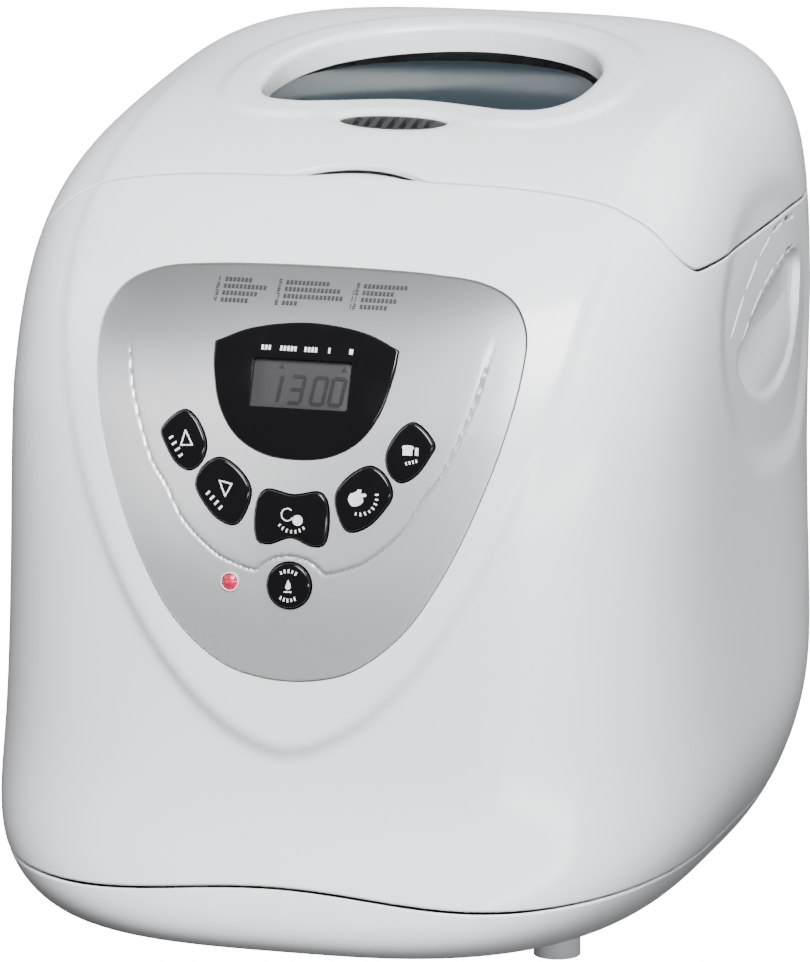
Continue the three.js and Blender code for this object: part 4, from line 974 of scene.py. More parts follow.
def slot_cutters():
    """Bars through both sides that follow the two arched rows of louvres."""
    bars = []
    for ends, height, width in SLOT_ROWS:
        for y0, y1 in ends:
            y = np.linspace(y0, y1, 9)
            taper = np.sqrt(np.clip(1 - ((y - (y0 + y1) / 2) / ((y1 - y0) / 2)) ** 6, 0.08, 1)) * width / 2
            upper, lower = np.stack([y, height(y) + taper], -1), np.stack([y, height(y) - taper], -1)
            outline = np.vstack([upper, lower[::-1]])
            rings = [np.insert(outline, 0, x, axis=1) for x in (-150, 150)]
            bars.append(face_out(piece_from("louvre", *skin(rings, "fan"), smooth=False)))
    return joined("louvres", bars)


def housing_piece(name):
    shell = form_shell(name, base_seam(SEAM_GAP / 2), lid_seam(-SEAM_GAP / 2), 1.9)
    opening = solid_plate("opening", grown(SHIELD, PANEL_GAP), face_point, -6, 12, 4)
    low, high = (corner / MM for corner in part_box("cord_gland"))
    gland = rod("gland", GLAND_HOLE, 60, ((low.x + high.x) / 2, high.y, (low.z + high.z) / 2), "Y", 48)
    carve(shell, opening, joined("cutters", [slot_cutters(), gland, hinge_notch("notch", 0.0)]))
    return crisp(shell)


def base_piece(name):
    high = base_seam(-SEAM_GAP / 2)
    rows, edge = band_rows(np.zeros_like(high), high, 2.2)
    edge[:len(edge) // 2] = FAR
    points, normals = on_form(rows)
    outside = points - normals * rounded_edge(edge)[:, None, None]
    points, normals = on_form(high * np.linspace(0.98, 0, 5)[:, None])
    inside = points - normals * SHELL_WALL
    inside[-1, :, 2] = outside[0, :, 2] + SHELL_WALL
    tray = piece_from(name, *skin(np.concatenate([outside, inside]), "fan"))
    holes = [rod("hole", SCREW_HOLE, 30, (x, y, 8), "Z", 32)
             for x in (-SCREW_X, SCREW_X) for y in (-SCREW_Y, SCREW_Y)]
    return crisp(carve(tray, joined("holes", holes)), 50)


def lid_piece(name):
    shell = form_shell(name, lid_seam(SEAM_GAP / 2), window_edge(), 2.0, WINDOW_RIM)
    recess = solid_plate("vent_opening", vent_outline(0.35), lid_point, -6, 9, 2)
    carve(shell, joined("cutters", [recess, hinge_notch("notch", 0.2)]))
    return crisp(joined(name, [shell, *(hinge_arm("arm", x) for x in (-HINGE_X, HINGE_X))]), 50)


def lid_height(x, y):
    """Height of the form's upper side over plan points."""
    x, y = np.broadcast_arrays(np.asarray(x, float), np.asarray(y, float))
    flat_x, flat_y = x.ravel(), y.ravel()
    middle = form(1.0, 0.0)[1]
    angle = np.arctan2(flat_y - middle, flat_x)
    reach = np.hypot(flat_x, flat_y - middle)
    t = crossing(lambda p: reach - np.hypot(p[..., 0], p[..., 1] - middle), angle, 0.8, 0.9995)
    step = 1e-3
    for _ in range(10):
        p = form(t, angle)
        dt = (form(t - step, angle) - p) / -step
        da = (form(t, angle + step) - p) / step
        ex, ey = flat_x - p[:, 0], flat_y - p[:, 1]
        det = dt[:, 0] * da[:, 1] - da[:, 0] * dt[:, 1]
        det = np.where(np.abs(det) < 1e-6, np.inf, det)
        t = np.clip(t + (ex * da[:, 1] - da[:, 0] * ey) / det, 0.6, 0.9995)
        angle = angle + (dt[:, 0] * ey - ex * dt[:, 1]) / det
    return form(t, angle)[:, 2].reshape(x.shape)


def lid_point(x, y, depth=0.0):
    return np.stack([x, y, lid_height(x, y) - depth], -1)


def vent_outline(margin, count=72):
    angles = np.arange(count) / count * 2 * math.pi
    return oval(VENT_HALF_LENGTH + margin, VENT_HALF_WIDTH + margin, angles, (0, VENT_Y))


def vent_piece(name):
    body = solid_plate(name, vent_outline(0), lid_point, 1.3, 4.4, 5)
    bevel(body, 0.5)
    pitch = VENT_HALF_LENGTH * 1.55 / VENT_SLOTS
    bars = []
    for i in range(VENT_SLOTS):
        x = (i - (VENT_SLOTS - 1) / 2) * pitch
        half = VENT_HALF_WIDTH * math.sqrt(1 - (x / VENT_HALF_LENGTH) ** 2) - 1.3
        bars.append(block("bar", x - pitch * 0.26, x + pitch * 0.26, VENT_Y - half, VENT_Y + half, 250, 320))
    return crisp(carve(body, joined("bars", bars)))


def foot_piece(name, x, y, height, radius, edge):
    """A round foot: a cylinder with a rounded tread edge and a shallow ring pressed into its sole."""
    foot = rod(name, radius, height, (x, y, height / 2), "Z", 64)
    bpy.ops.object.mode_set(mode="EDIT")
    bm = bmesh.from_edit_mesh(foot.data)
    bm.select_mode = {"FACE"}
    for face in bm.faces:
        face.select = face.normal.z < -0.9
    bm.select_flush_mode()
    bmesh.update_edit_mesh(foot.data)
    for share in (0.42, 0.06):
        bpy.ops.mesh.inset(thickness=radius * share * MM)
    bpy.ops.transform.translate(value=(0, 0, 0.6 * MM))
    bpy.ops.object.mode_set(mode="OBJECT")
    bevel(foot, edge, 4, 40)
    return crisp(foot)


# ---- panel pieces ----------------------------------------------------------------------------
PANEL_CENTRE, PANEL_RINGS, PANEL_EDGE = (0, 190.0), 104, 0.6
PANEL_SUNK, PANEL_BACK, KEY_GAP, KEY_DEPTH = 0.15, 5.0, 0.6, 7.2


def panel_piece(name):
    shares = (np.arange(PANEL_RINGS - 1) + 0.5) / (PANEL_RINGS - 0.5)
    spokes = SHIELD - PANEL_CENTRE
    length = np.linalg.norm(spokes, axis=1)
    rings = []
    for share in (*shares, 0.994, 0.997, 1.0):
        x, s = (PANEL_CENTRE + spokes * share).T
        inside = np.clip(PANEL_EDGE - (1 - share) * length, 0, PANEL_EDGE)
        rounding = PANEL_EDGE - np.sqrt(PANEL_EDGE ** 2 - inside ** 2)
        rings.append(face_point(x, s, rounding - panel_relief(x, s) + PANEL_SUNK))
    for share in (1.0, 0.7, 0.35, 0.08):
        rings.append(face_point(*(PANEL_CENTRE + spokes * share).T, PANEL_BACK))
    panel = face_out(piece_from(name, *skin(rings, "fan")))
    holes = [solid_plate("hole", grown(outline, KEY_GAP) + centre, face_point, -4, 12, 2)
             for centre, outline in KEYS.values()]
    holes.append(solid_plate("hole", grown(LENS, 0.25), face_point, -4, 12, 4))
    holes.append(solid_plate("hole", circle(LED_RADIUS + 0.9, 48, LED_CENTRE), face_point, -4, 12, 2))
    return crisp(carve(panel, joined("holes", holes)))


def cap(name, outline, centre, rise, crown, radius, depth):
    """A key cap: a crowned top with a round edge, and a skirt square to the face at its centre."""
    normal = face_normal(*centre)
    outline = np.asarray(outline, float)
    size = np.linalg.norm(outline, axis=1)

    def ring(inset, height):
        flat = outline * (1 - inset / size)[:, None] + centre
        return face_surface(flat[:, 0], flat[:, 1]) + normal * np.asarray(height)[..., None]

    rings = []
    for share in np.linspace(0.04, 1, 14):
        inset = radius + (size - radius) * (1 - share)
        rings.append(ring(inset, rise + crown * (1 - share ** 2)))
    for a in np.linspace(0, math.pi / 2, 7)[1:]:
        rings.append(ring(np.full_like(size, radius * (1 - math.sin(a))), rise - radius * (1 - math.cos(a))))
    rings.append(ring(np.zeros_like(size), -depth))
    return crisp(face_out(piece_from(name, *skin(rings, "fan"))), 50)


def flat_shape(name, shapes, place, thickness=0.14):
    """Thin printed shapes: each closed outline becomes a plate laid by place(x, y, depth)."""
    plates = []
    for outline in shapes:
        outline = np.asarray(outline, float)
        rings = [place(outline[:, 0], outline[:, 1], np.full(len(outline), d)) for d in (0.05, -thickness)]
        plates.append(face_out(piece_from(name, *skin(rings, "fan"), smooth=False)))
    return joined(name, plates)


def to_the_left(along):
    return np.array([-along[1], along[0]])


def stroke(path, width, closed=False):
    """Outlines of the quads that draw a path with a pen of this width."""
    path = np.asarray(path, float)
    ends = np.vstack([path, path[:1]]) if closed else path
    quads = []
    for a, b in zip(ends, ends[1:]):
        along = unit(b - a)
        side = to_the_left(along) * width / 2
        a, b = a - along * width * 0.3, b + along * width * 0.3
        quads.append([a + side, b + side, b - side, a - side])
    return quads


def bar(x0, x1, y0, y1):
    return [(x0, y0), (x1, y0), (x1, y1), (x0, y1)]


def dashes(path, count, height, width=0.62):
    """Short upright marks spaced along a path, in place of a caption."""
    spots = even(path, count * 2 + 1)[1::2]
    ahead = unit(np.gradient(spots, axis=0))
    shapes = []
    for place, (spot, along) in enumerate(zip(spots, ahead)):
        up = to_the_left(along) * height / 2 * (1 if place % 3 else 0.85)
        side = along * width / 2
        shapes.append([spot - up - side, spot - up + side, spot + up + side, spot + up - side])
    return shapes


def key_icons():
    """The print on each key, round the key's own centre."""
    loaf = np.array([(-2.2, -2.1), (-2.2, 0.5), (-2.8, 1.1), (-2.4, 2.1), (0, 2.5), (2.4, 2.1), (2.8, 1.1),
                     (2.2, 0.5), (2.2, -2.1)])
    hand = closed_curve([(-4.0, -0.6), (-3.2, 1.3), (-1.6, 1.9), (-0.4, 3.0), (0.8, 2.8), (0.6, 1.6),
                         (2.4, 1.6), (2.6, 0.6), (1.4, 0.4), (1.6, -1.2), (0.2, -2.6), (-2.4, -3.0)], 48)
    flame = [(0, 2.2), (0.9, 0.8), (1.1, -0.6), (0.6, -1.3), (-0.6, -1.3), (-1.1, -0.6), (-0.7, 0.4)]
    return {
        "time_up_button": [*stroke([(-0.4, -2.4), (3.9, -2.0), (0.9, 3.0)], 0.55, True),
                           *dashes([(-5.0, 1.2), (0.4, -7.0)], 4, 2.1, 0.8)],
        "time_down_button": [*stroke([(-0.8, 3.6), (3.9, 2.6), (1.7, -1.8)], 0.55, True),
                             *dashes([(-5.6, -0.2), (1.0, -6.8)], 4, 2.1, 0.8)],
        "loaf_size_button": [*stroke(arc(2.2, 50, 330, (-1.3, 1.2)), 0.45), circle(1.9, 22, (2.6, -0.6)),
                             *dashes(arc(6.4, 214, 318, (0.8, 1.6)), 7, 1.3)],
        "menu_button": [hand - (1.6, -0.4), *dashes(arc(6.2, 250, 378, (-1.2, 0.8)), 8, 1.3)],
        "crust_button": [loaf * 0.8 + (-0.6, 0.4), bar(2.1, 3.3, -1.2, 1.5),
                         *dashes([(-1.4, -4.4), (3.4, -3.0)], 4, 1.3)],
        "start_stop_button": [flame, *stroke([(-1.3, -2.2), (1.3, -2.2)], 0.5),
                              *dashes(arc(5.2, 130, 50), 5, 1.4), *dashes(arc(5.2, 232, 308), 5, 1.4)],
    }


DIGIT_SEGMENTS = {"1": "bc", "3": "abgcd", "0": "abcdef"}
DIGIT_WIDTH, DIGIT_HEIGHT, DIGIT_PEN, DIGIT_LEAN = 4.5, 9.6, 1.35, 0.12


def digit(figure, x, s):
    """Outlines of the lit segments of a figure whose lower left corner is at x, s."""
    w, h, p = DIGIT_WIDTH, DIGIT_HEIGHT, DIGIT_PEN / 2
    spots = {"a": ((0, h), (w, h)), "b": ((w, h), (w, h / 2)), "c": ((w, h / 2), (w, 0)),
             "d": ((0, 0), (w, 0)), "e": ((0, 0), (0, h / 2)), "f": ((0, h / 2), (0, h)),
             "g": ((0, h / 2), (w, h / 2))}
    shapes = []
    for letter in DIGIT_SEGMENTS[figure]:
        a, b = (np.array(v, float) for v in spots[letter])
        along = unit(b - a)
        side = to_the_left(along) * p
        a, b = a - along * 0.1, b + along * 0.1
        bevel = along * p * 0.7
        outline = [a, a + bevel + side, b - bevel + side, b, b - bevel - side, a + bevel - side]
        shapes.append([(x + q[0] + DIGIT_LEAN * q[1], s + q[1]) for q in outline])
    return shapes


DISPLAY_DEPTH = 1.5
LENS_RISE, LENS_EDGE = 0.45, 0.7


def lens_piece(name):
    """The black surround of the display: a crowned plate with a bevelled window."""
    centre = LENS.mean(0)
    size = np.linalg.norm(LENS - centre, axis=1)

    def ring(inset, depth):
        flat = centre + (LENS - centre) * (1 - inset / size)[:, None]
        return face_point(flat[:, 0], flat[:, 1], depth)

    edge = LENS_EDGE
    rings = [ring((size - edge) * (1 - share) + edge, -LENS_RISE) for share in np.linspace(0.1, 1, 7)]
    rings += [ring(np.full_like(size, edge * (1 - math.sin(a))), -LENS_RISE + edge * (1 - math.cos(a)))
              for a in np.linspace(0, math.pi / 2, 6)[1:]]
    rings.append(ring(np.zeros_like(size), 2.2))
    lens = face_out(piece_from(name, *skin(rings, "fan")))
    (x0, s0), (x1, s1) = LCD_LOW, LCD_HIGH
    window = solid_plate("window", rounded_rectangle(x0, s0, x1, s1, 1.2), face_point, -4, 9, 2)
    carve(lens, window)
    bevel(lens, 0.35, degrees=60)
    return crisp(lens)


def rounded_rectangle(x0, y0, x1, y1, radius, steps=6):
    x0, x1, y0, y1 = x0 + radius, x1 - radius, y0 + radius, y1 - radius
    corners = ((x1, y1, 0), (x0, y1, 90), (x0, y0, 180), (x1, y0, 270))
    return np.vstack([arc(radius, start, start + 90, (x, y), steps) for x, y, start in corners])


def display_plate(name):
    (x0, s0), (x1, s1) = LCD_LOW, LCD_HIGH
    outline = rounded_rectangle(x0 - 2, s0 - 2, x1 + 2, s1 + 2, 1)
    plate = solid_plate(name, outline, face_point, DISPLAY_DEPTH, 3.4, 3)
    bevel(plate, 0.3, degrees=60)
    return crisp(plate)


def display_figures():
    shapes = []
    for figure, x in (("1", -13.6), ("3", -5.1), ("0", 3.3), ("0", 10.0)):
        shapes += digit(figure, x, 208.6)
    for x in (-8.7, 14.6):
        shapes.append([(x - 1.0, 220.9), (x + 1.0, 220.9), (x, 222.9)])
    return shapes


def display_marks():
    """Pale marks above the display: three groups of short bars and two single ones."""
    shapes = [bar(start + i * 1.3, start + i * 1.3 + 0.85, 226.9, 228.7)
              for start, count in ((-16.5, 3), (-9.5, 5), (-0.5, 4)) for i in range(count)]
    return shapes + [bar(8.4, 9.2, 226.8, 228.8), bar(16.2, 17.6, 226.8, 228.8)]


FIGURE_STROKES = {
    "0": [[(0, 0), (1, 0), (1, 2), (0, 2), (0, 0)]],
    "1": [[(0.5, 0), (0.5, 2)]],
    "2": [[(0, 2), (1, 2), (1, 1), (0, 1), (0, 0), (1, 0)]],
    "3": [[(0, 2), (1, 2), (1, 0), (0, 0)], [(0, 1), (1, 1)]],
    "4": [[(0, 2), (0, 1), (1, 1)], [(1, 2), (1, 0)]],
    "5": [[(1, 2), (0, 2), (0, 1), (1, 1), (1, 0), (0, 0)]],
    "6": [[(1, 2), (0, 2), (0, 0), (1, 0), (1, 1), (0, 1)]],
    "7": [[(0, 2), (1, 2), (1, 0)]],
    "8": [[(0, 0), (1, 0), (1, 2), (0, 2), (0, 0)], [(0, 1), (1, 1)]],
    "9": [[(1, 1), (0, 1), (0, 2), (1, 2), (1, 0), (0, 0)]],
}
DASH_LENGTH, DASH_PITCH = 1.0, 1.5
PROGRAMME_ROWS = (253.6, 250.8, 248.0, 245.2)
PROGRAMME_COLUMNS = ((-37.5, (13, 18, 15, 12)), (-14.5, (19, 23, 24, 8)), (14.5, (18, 14, 15, 12)))


def programme_table():
    """Twelve numbered lines in three columns; each line is a number and a row of short dashes."""
    shapes = []
    number = 0
    for x, lengths in PROGRAMME_COLUMNS:
        for s, length in zip(PROGRAMME_ROWS, lengths):
            number += 1
            at = x if number < 10 else x - 1.2
            for figure in str(number):
                for path in FIGURE_STROKES[figure]:
                    shapes += stroke([(at + px * 0.75, s - 0.9 + py * 0.9) for px, py in path], 0.3)
                at += 1.25
            at = x + 2.6
            while at < x + length:
                shapes.append(bar(at, at + DASH_LENGTH, s - 0.85, s + 0.75))
                at += DASH_PITCH
    return shapes


def key_sign(name, shapes, centre, outline, rise, crown):
    """The sign on a key, laid on its crowned top."""
    normal = face_normal(*centre)
    angles = np.arctan2(outline[:, 1], outline[:, 0])
    order = np.argsort(angles)
    reach = np.linalg.norm(outline, axis=1)[order]

    def on_top(x, s, depth):
        size = np.interp(np.arctan2(s, x), angles[order], reach, period=2 * math.pi)
        height = rise + crown * (1 - np.clip(np.hypot(x, s) / size, 0, 1) ** 2) + 0.02 - np.asarray(depth)
        return face_surface(x + centre[0], s + centre[1]) + normal * height[..., None]

    return flat_shape(name, shapes, on_top, 0.1)


def lamp_ring(name):
    profile = ((0.1, 0.5), (0.1, -0.1), (0.3, -0.25), (0.75, -0.1), (0.8, 0.5))
    rings = [face_point(*circle(LED_RADIUS + out, 40, LED_CENTRE).T, depth) for out, depth in profile]
    return crisp(face_out(piece_from(name, *skin(rings, "loop"))))


# ---- pan, chamber and other parts inside -------------------------------------------------------
CHAMBER_Y = 50.0
CHAMBER_HALF, CHAMBER_POWER, CHAMBER_WALL, CHAMBER_FLOOR = (95.0, 75.0), 6, 1.2, 62.0
PAN_HALF, PAN_POWER, PAN_WALL, PAN_FLOOR, PAN_RIM = (80.0, 60.0), 5, 1.5, 84.0, 205.0
PIVOT_Z = PAN_RIM + 8
ROD_RADIUS = 2.2
LINER_Z = 256.0
DECK_TOP = 241.0
SENSOR_HOLE, HEATER_HOLE, RIVET_HOLE, SHAFT_HOLE, PADDLE_BORE = 3, 4.8, 1.6, 9.4, 4.3
HEATER_TAIL_Y, HEATER_POWER, HEATER_GAP = 9, 4.5, 0.16
EAR_RADIUS, PADDLE_REACH, PADDLE_TURN = 8, 44, 0.5


def rounded_box(angle, half, power):
    """Plan point on a rounded rectangle about the chamber's centre."""
    c, s = math.cos(angle), math.sin(angle)
    reach = (abs(c) ** power + abs(s) ** power) ** (-1 / power)
    return half[0] * c * reach, CHAMBER_Y + half[1] * s * reach


def at_height(outline, z):
    return np.column_stack([outline, np.full(len(outline), z)])


def tub(name, half, power, levels, sides=112):
    """A tub with rounded corners: a disc drawn out level by level. A level is a margin and a height."""
    bpy.ops.mesh.primitive_circle_add(vertices=sides, radius=1, fill_type="NGON")
    piece = added(name)
    bpy.ops.object.mode_set(mode="EDIT")
    for number, (margin, z) in enumerate(levels):
        if number:
            bpy.ops.mesh.extrude_region_move()
        bm = bmesh.from_edit_mesh(piece.data)
        size = (half[0] + margin, half[1] + margin)
        for vert in (v for v in bm.verts if v.select):
            if number:
                angle = math.atan2((vert.co.y / MM - CHAMBER_Y) / last[1], vert.co.x / MM / last[0])
            else:
                angle = math.atan2(vert.co.y, vert.co.x)
            vert.co = Vector((*rounded_box(angle, size, power), z)) * MM
        last = size
        bmesh.update_edit_mesh(piece.data)
    bpy.ops.mesh.select_all(action="SELECT")
    bpy.ops.mesh.normals_make_consistent(inside=False)
    bpy.ops.object.mode_set(mode="OBJECT")
    return piece


def turned(name, profile, x=0.0, y=CHAMBER_Y, steps=72):
    """A closed profile of radius and height spun round an upright axis."""
    mesh = bpy.data.meshes.new(name)
    points = [(x + r, y, z) for r, z in profile]
    edges = [(i, (i + 1) % len(points)) for i in range(len(points))]
    mesh.from_pydata([[c * MM for c in p] for p in points], edges, [])
    piece = only(linked(name, mesh))
    bpy.ops.object.mode_set(mode="EDIT")
    bpy.ops.mesh.select_all(action="SELECT")
    bpy.ops.mesh.spin(steps=steps, angle=2 * math.pi, center=(x * MM, y * MM, 0), axis=(0, 0, 1))
    bpy.ops.mesh.select_all(action="SELECT")
    bpy.ops.mesh.remove_doubles(threshold=1e-6)
    bpy.ops.mesh.normals_make_consistent(inside=False)
    bpy.ops.object.mode_set(mode="OBJECT")
    return piece


def core(name, radius, low, high, steps):
    """A plug on the chamber's axis, to cut a round hole."""
    return turned(name, [(0, low), (radius, low), (radius, high), (0, high)], steps=steps)


def wire(name, points, radius, smooth=5):
    """A round wire along points, in millimetres, closed at its ends."""
    path = open_curve(points, len(points) * smooth) if smooth > 1 else np.asarray(points, float)
    curve = bpy.data.curves.new(name, "CURVE")
    curve.dimensions = "3D"
    curve.bevel_depth = radius * MM
    curve.bevel_resolution = 5
    curve.use_fill_caps = True
    spline = curve.splines.new("POLY")
    spline.points.add(len(path) - 1)
    for point, place in zip(spline.points, path):
        point.co = (*(place * MM), 1)
    only(linked(name, curve))
    bpy.ops.object.convert(target="MESH")
    return face_out(bpy.context.object)


def rounded_levels(margin, z, radius, start, end, steps=5):
    """Levels round an arc about (margin, z), from one angle to another, in degrees."""
    turns = np.radians(np.linspace(start, end, steps))
    return [(margin + radius * math.cos(a), z + radius * math.sin(a)) for a in turns]


def chamber_piece(name):
    w, floor, top = CHAMBER_WALL, CHAMBER_FLOOR, DECK_TOP + 1.6
    levels = [(-30, floor), *rounded_levels(-5, floor + 5, 5, -90, 0), (0, top - 2.2),
              *rounded_levels(6.4, top - 0.6, 0.6, -90, 90), (0.6, top),
              *rounded_levels(-w + 1.2, top - 1.2, 1.2, 90, 180)[1:],
              *rounded_levels(-w - 4, floor + w + 4, 4, 0, -90), (-30, floor + w)]
    chamber = tub(name, CHAMBER_HALF, CHAMBER_POWER, levels)
    inner, outer = CHAMBER_HALF[0] - 10, CHAMBER_HALF[0] + 10
    holes = [core("hole", 6, floor - 5, floor + 5, 32)]
    holes.append(cross_rod("hole", SENSOR_HOLE, inner, outer, CHAMBER_Y, floor + 56))
    holes += [cross_rod("hole", HEATER_HOLE, -outer, -inner, CHAMBER_Y + dy, floor + w + 12)
              for dy in (-HEATER_TAIL_Y, HEATER_TAIL_Y)]
    holes += [cross_rod("hole", RIVET_HOLE, -outer, -inner, CHAMBER_Y - 40, z) for z in (120, 205)]
    return crisp(carve(chamber, joined("holes", holes)), 40)


def deck_piece(name):
    """The inner top of the housing round the chamber's mouth, with a low wall behind the front."""
    low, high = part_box("top_deck")
    rim = np.linspace(0, 2 * math.pi, 240, endpoint=False)
    t = crossing(lambda p: p[..., 2] - DECK_TOP, rim, 0.3, 0.9)
    edge = form(t, rim) - form_normal(t, rim) * (SHELL_WALL + 1.3)
    edge[:, 1] = np.maximum(edge[:, 1], low.y / MM)
    deck = flat_prism(name, edge[:, :2], DECK_TOP - 2, DECK_TOP)
    mouth = tub("mouth", CHAMBER_HALF, CHAMBER_POWER, [(0.4, 200), (0.4, 300)])
    groove = carve(tub("groove", CHAMBER_HALF, CHAMBER_POWER, [(10.5, DECK_TOP - 0.8), (10.5, DECK_TOP + 5)]),
                   tub("inner", CHAMBER_HALF, CHAMBER_POWER, [(8.8, DECK_TOP - 5), (8.8, DECK_TOP + 9)]))
    carve(deck, joined("cuts", [mouth, hinge_notch("notch", 0.4)]), groove)
    front = low.y / MM
    wall = block("wall", -98, 98, front, front + 2, DECK_TOP - 1.9, DECK_TOP + 24)
    bevel(wall, 0.8, 3, 30)
    merge(deck, wall)
    return crisp(deck)


def liner_piece(name):
    """The lid's inner plate, with a bead round it and a wall that rises to the glass."""
    half = (CHAMBER_HALF[0] + 12, CHAMBER_HALF[1] + 10)
    z = LINER_Z
    plate = tub(name, half, 5, [(-1, z), (0, z + 0.4), (0, z + 0.8), (-1, z + 1.2)])
    bead = carve(tub("bead", half, 5, [(-9, z - 1.4), (-8, z - 0.8), (-8, z + 0.5), (-9, z + 1)]),
                 tub("inner", half, 5, [(-13, z - 5), (-13, z + 5)]))
    merge(plate, bead)
    carve(plate, flat_prism("well", grown(WINDOW, 1.0), z - 5, z + 5))
    low, high = z + 0.2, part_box("lid_window")[0].z / MM - 0.9
    corners = ((2.0, low), (2.0, high), (0.6, high), (0.6, low))
    rings = [at_height(grown(WINDOW, distance), height) for distance, height in corners]
    wall = face_out(piece_from("wall", *skin(rings, "loop")))
    merge(plate, wall)
    return crisp(plate)


def flat_prism(name, outline, low, high):
    rings = [at_height(outline, z) for z in (low, high)]
    return face_out(piece_from(name, *skin(rings, "fan"), smooth=False))


GLASS_THICKNESS = 3.0


def glass_point(x, y, depth=0.0):
    """Points of the sloping glass plane."""
    low, high = (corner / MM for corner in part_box("lid_window"))
    slope = (high.z - low.z - GLASS_THICKNESS) / (high.y - low.y)
    return np.stack([x, y, low.z + GLASS_THICKNESS + slope * (np.asarray(y) - low.y) - depth], -1)


def glass_piece(name):
    outline = grown(WINDOW, -2.4)
    profile = ((-0.8, 0), (-0.25, 0.1), (0, 0.8), (0, 2.2), (-0.3, GLASS_THICKNESS))
    rings = [glass_point(*grown(outline, out).T, depth) for out, depth in profile]
    return crisp(face_out(piece_from(name, *skin(rings, "fan"))))


def gasket_piece(name):
    under = GLASS_THICKNESS + 0.3
    profile = ((3, 0.4), (2.6, 0), (-3, 0), (-3.4, 0.4), (-3.4, 1.6), (-3, 2), (2.6, 2), (3, 1.6))
    rings = [glass_point(*grown(WINDOW, out).T, under + down) for out, down in profile]
    return crisp(face_out(piece_from(name, *skin(rings, "loop"))), 50)


def pan_piece(name):
    w, floor, rim = PAN_WALL, PAN_FLOOR, PAN_RIM
    wall = np.linspace(floor + 12, rim - 6, 24)
    # four beads pressed out of the wall stiffen it
    bead = sum(0.6 * np.exp(-((wall - z) / 1.6) ** 2) for z in (112, 128, 176, 190))
    outer = [(-0.6 + b, z) for b, z in zip(bead, wall)]
    inner = [(-0.6 + b - w, z) for b, z in zip(bead, wall)][::-1]
    levels = [(-24, floor), *rounded_levels(-8.6, floor + 8, 8, -90, 0), *outer, (-0.4, rim - 3.4),
              *rounded_levels(1.6, rim - 1.4, 1.4, -120, 110, 10), (-0.6, rim - 0.2), (-w - 0.6, rim - 1.4),
              *inner,
              *rounded_levels(-w - 7.2, floor + 2 + 6.6, 6.6, 0, -90), (-24, floor + 2)]
    pan = tub(name, PAN_HALF, PAN_POWER, levels, 128)
    carve(pan, core("hole", SHAFT_HOLE, floor - 5, floor + 5, 40))
    for side in (-1, 1):
        front, back = CHAMBER_Y - EAR_RADIUS, CHAMBER_Y + EAR_RADIUS
        crown = oval(EAR_RADIUS, EAR_RADIUS, np.linspace(0.1, math.pi - 0.1, 20), (CHAMBER_Y, PIVOT_Z))
        outline = np.vstack([[(back, rim - 6), (back, PIVOT_Z)], crown, [(front, PIVOT_Z), (front, rim - 6)]])
        x0, x1 = sorted((side * (PAN_HALF[0] - w), side * PAN_HALF[0]))
        rings = [np.insert(outline, 0, x, axis=1) for x in (x0, x1)]
        ear = face_out(piece_from("ear", *skin(rings, "fan"), smooth=False))
        carve(ear, cross_rod("bore", ROD_RADIUS + 0.3, x0 - 3, x1 + 3, CHAMBER_Y, PIVOT_Z))
        merge(pan, ear)
    return crisp(pan, 40)


def bail_piece(name):
    side = PAN_HALF[0] + 3.4
    reach = (CHAMBER_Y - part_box("pan_handle")[0].y / MM) - ROD_RADIUS
    half = [(side, 0), (side, 9), (side - 7, 22), (side - 24, 37), (side - 48, reach - 6)]
    path = [(-x, CHAMBER_Y - y, PIVOT_Z) for x, y in half] + [(0, CHAMBER_Y - reach, PIVOT_Z)] \
        + [(x, CHAMBER_Y - y, PIVOT_Z) for x, y in reversed(half)]
    bail = wire(name, path, ROD_RADIUS, 8)
    for end in (-1, 1):
        inner, outer = sorted((end * (PAN_HALF[0] - 4), end * (side + 1.6)))
        pin = cross_rod("pin", ROD_RADIUS, inner, outer, CHAMBER_Y, PIVOT_Z, 28)
        bevel(pin, 0.7, 3, 30)
        merge(bail, pin)
    return crisp(bail, 50)


def paddle_piece(name):
    """A hub that tapers upwards and a swept fin with a thick root."""
    low, high = (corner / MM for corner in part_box("kneading_paddle"))
    floor, top = low.z, high.z
    hub = turned(name, [(PADDLE_BORE, floor), (9.2, floor), (10, floor + 0.8), (9.4, floor + 8),
                        (8.2, top - 2), (7, top), (PADDLE_BORE, top)])
    reach = PADDLE_REACH
    outline = closed_curve([(5, 0.5), (24, 0.2), (reach - 1, 0.4), (reach, 4), (reach - 1.5, 9),
                            (reach - 8, 17.5), (reach - 14, 21.2), (20, 21.4), (5, 20.4)], 72)
    centre = outline.mean(0)
    c, s = math.cos(PADDLE_TURN), math.sin(PADDLE_TURN)
    rings = []
    for share, thickness in ((0.9, -1), (1.0, -0.55), (1.0, 0.55), (0.9, 1)):
        along, up = (centre + (outline - centre) * share).T
        depth = thickness * (2.6 - 1.5 * along / reach)
        rings.append(np.stack([along * c - depth * s, along * s + depth * c + CHAMBER_Y, floor + up], -1))
    fin = face_out(piece_from("fin", *skin(rings, "fan")))
    carve(fin, core("bore", PADDLE_BORE, floor - 3, top + 3, 48))
    merge(hub, fin)
    return crisp(hub, 45)


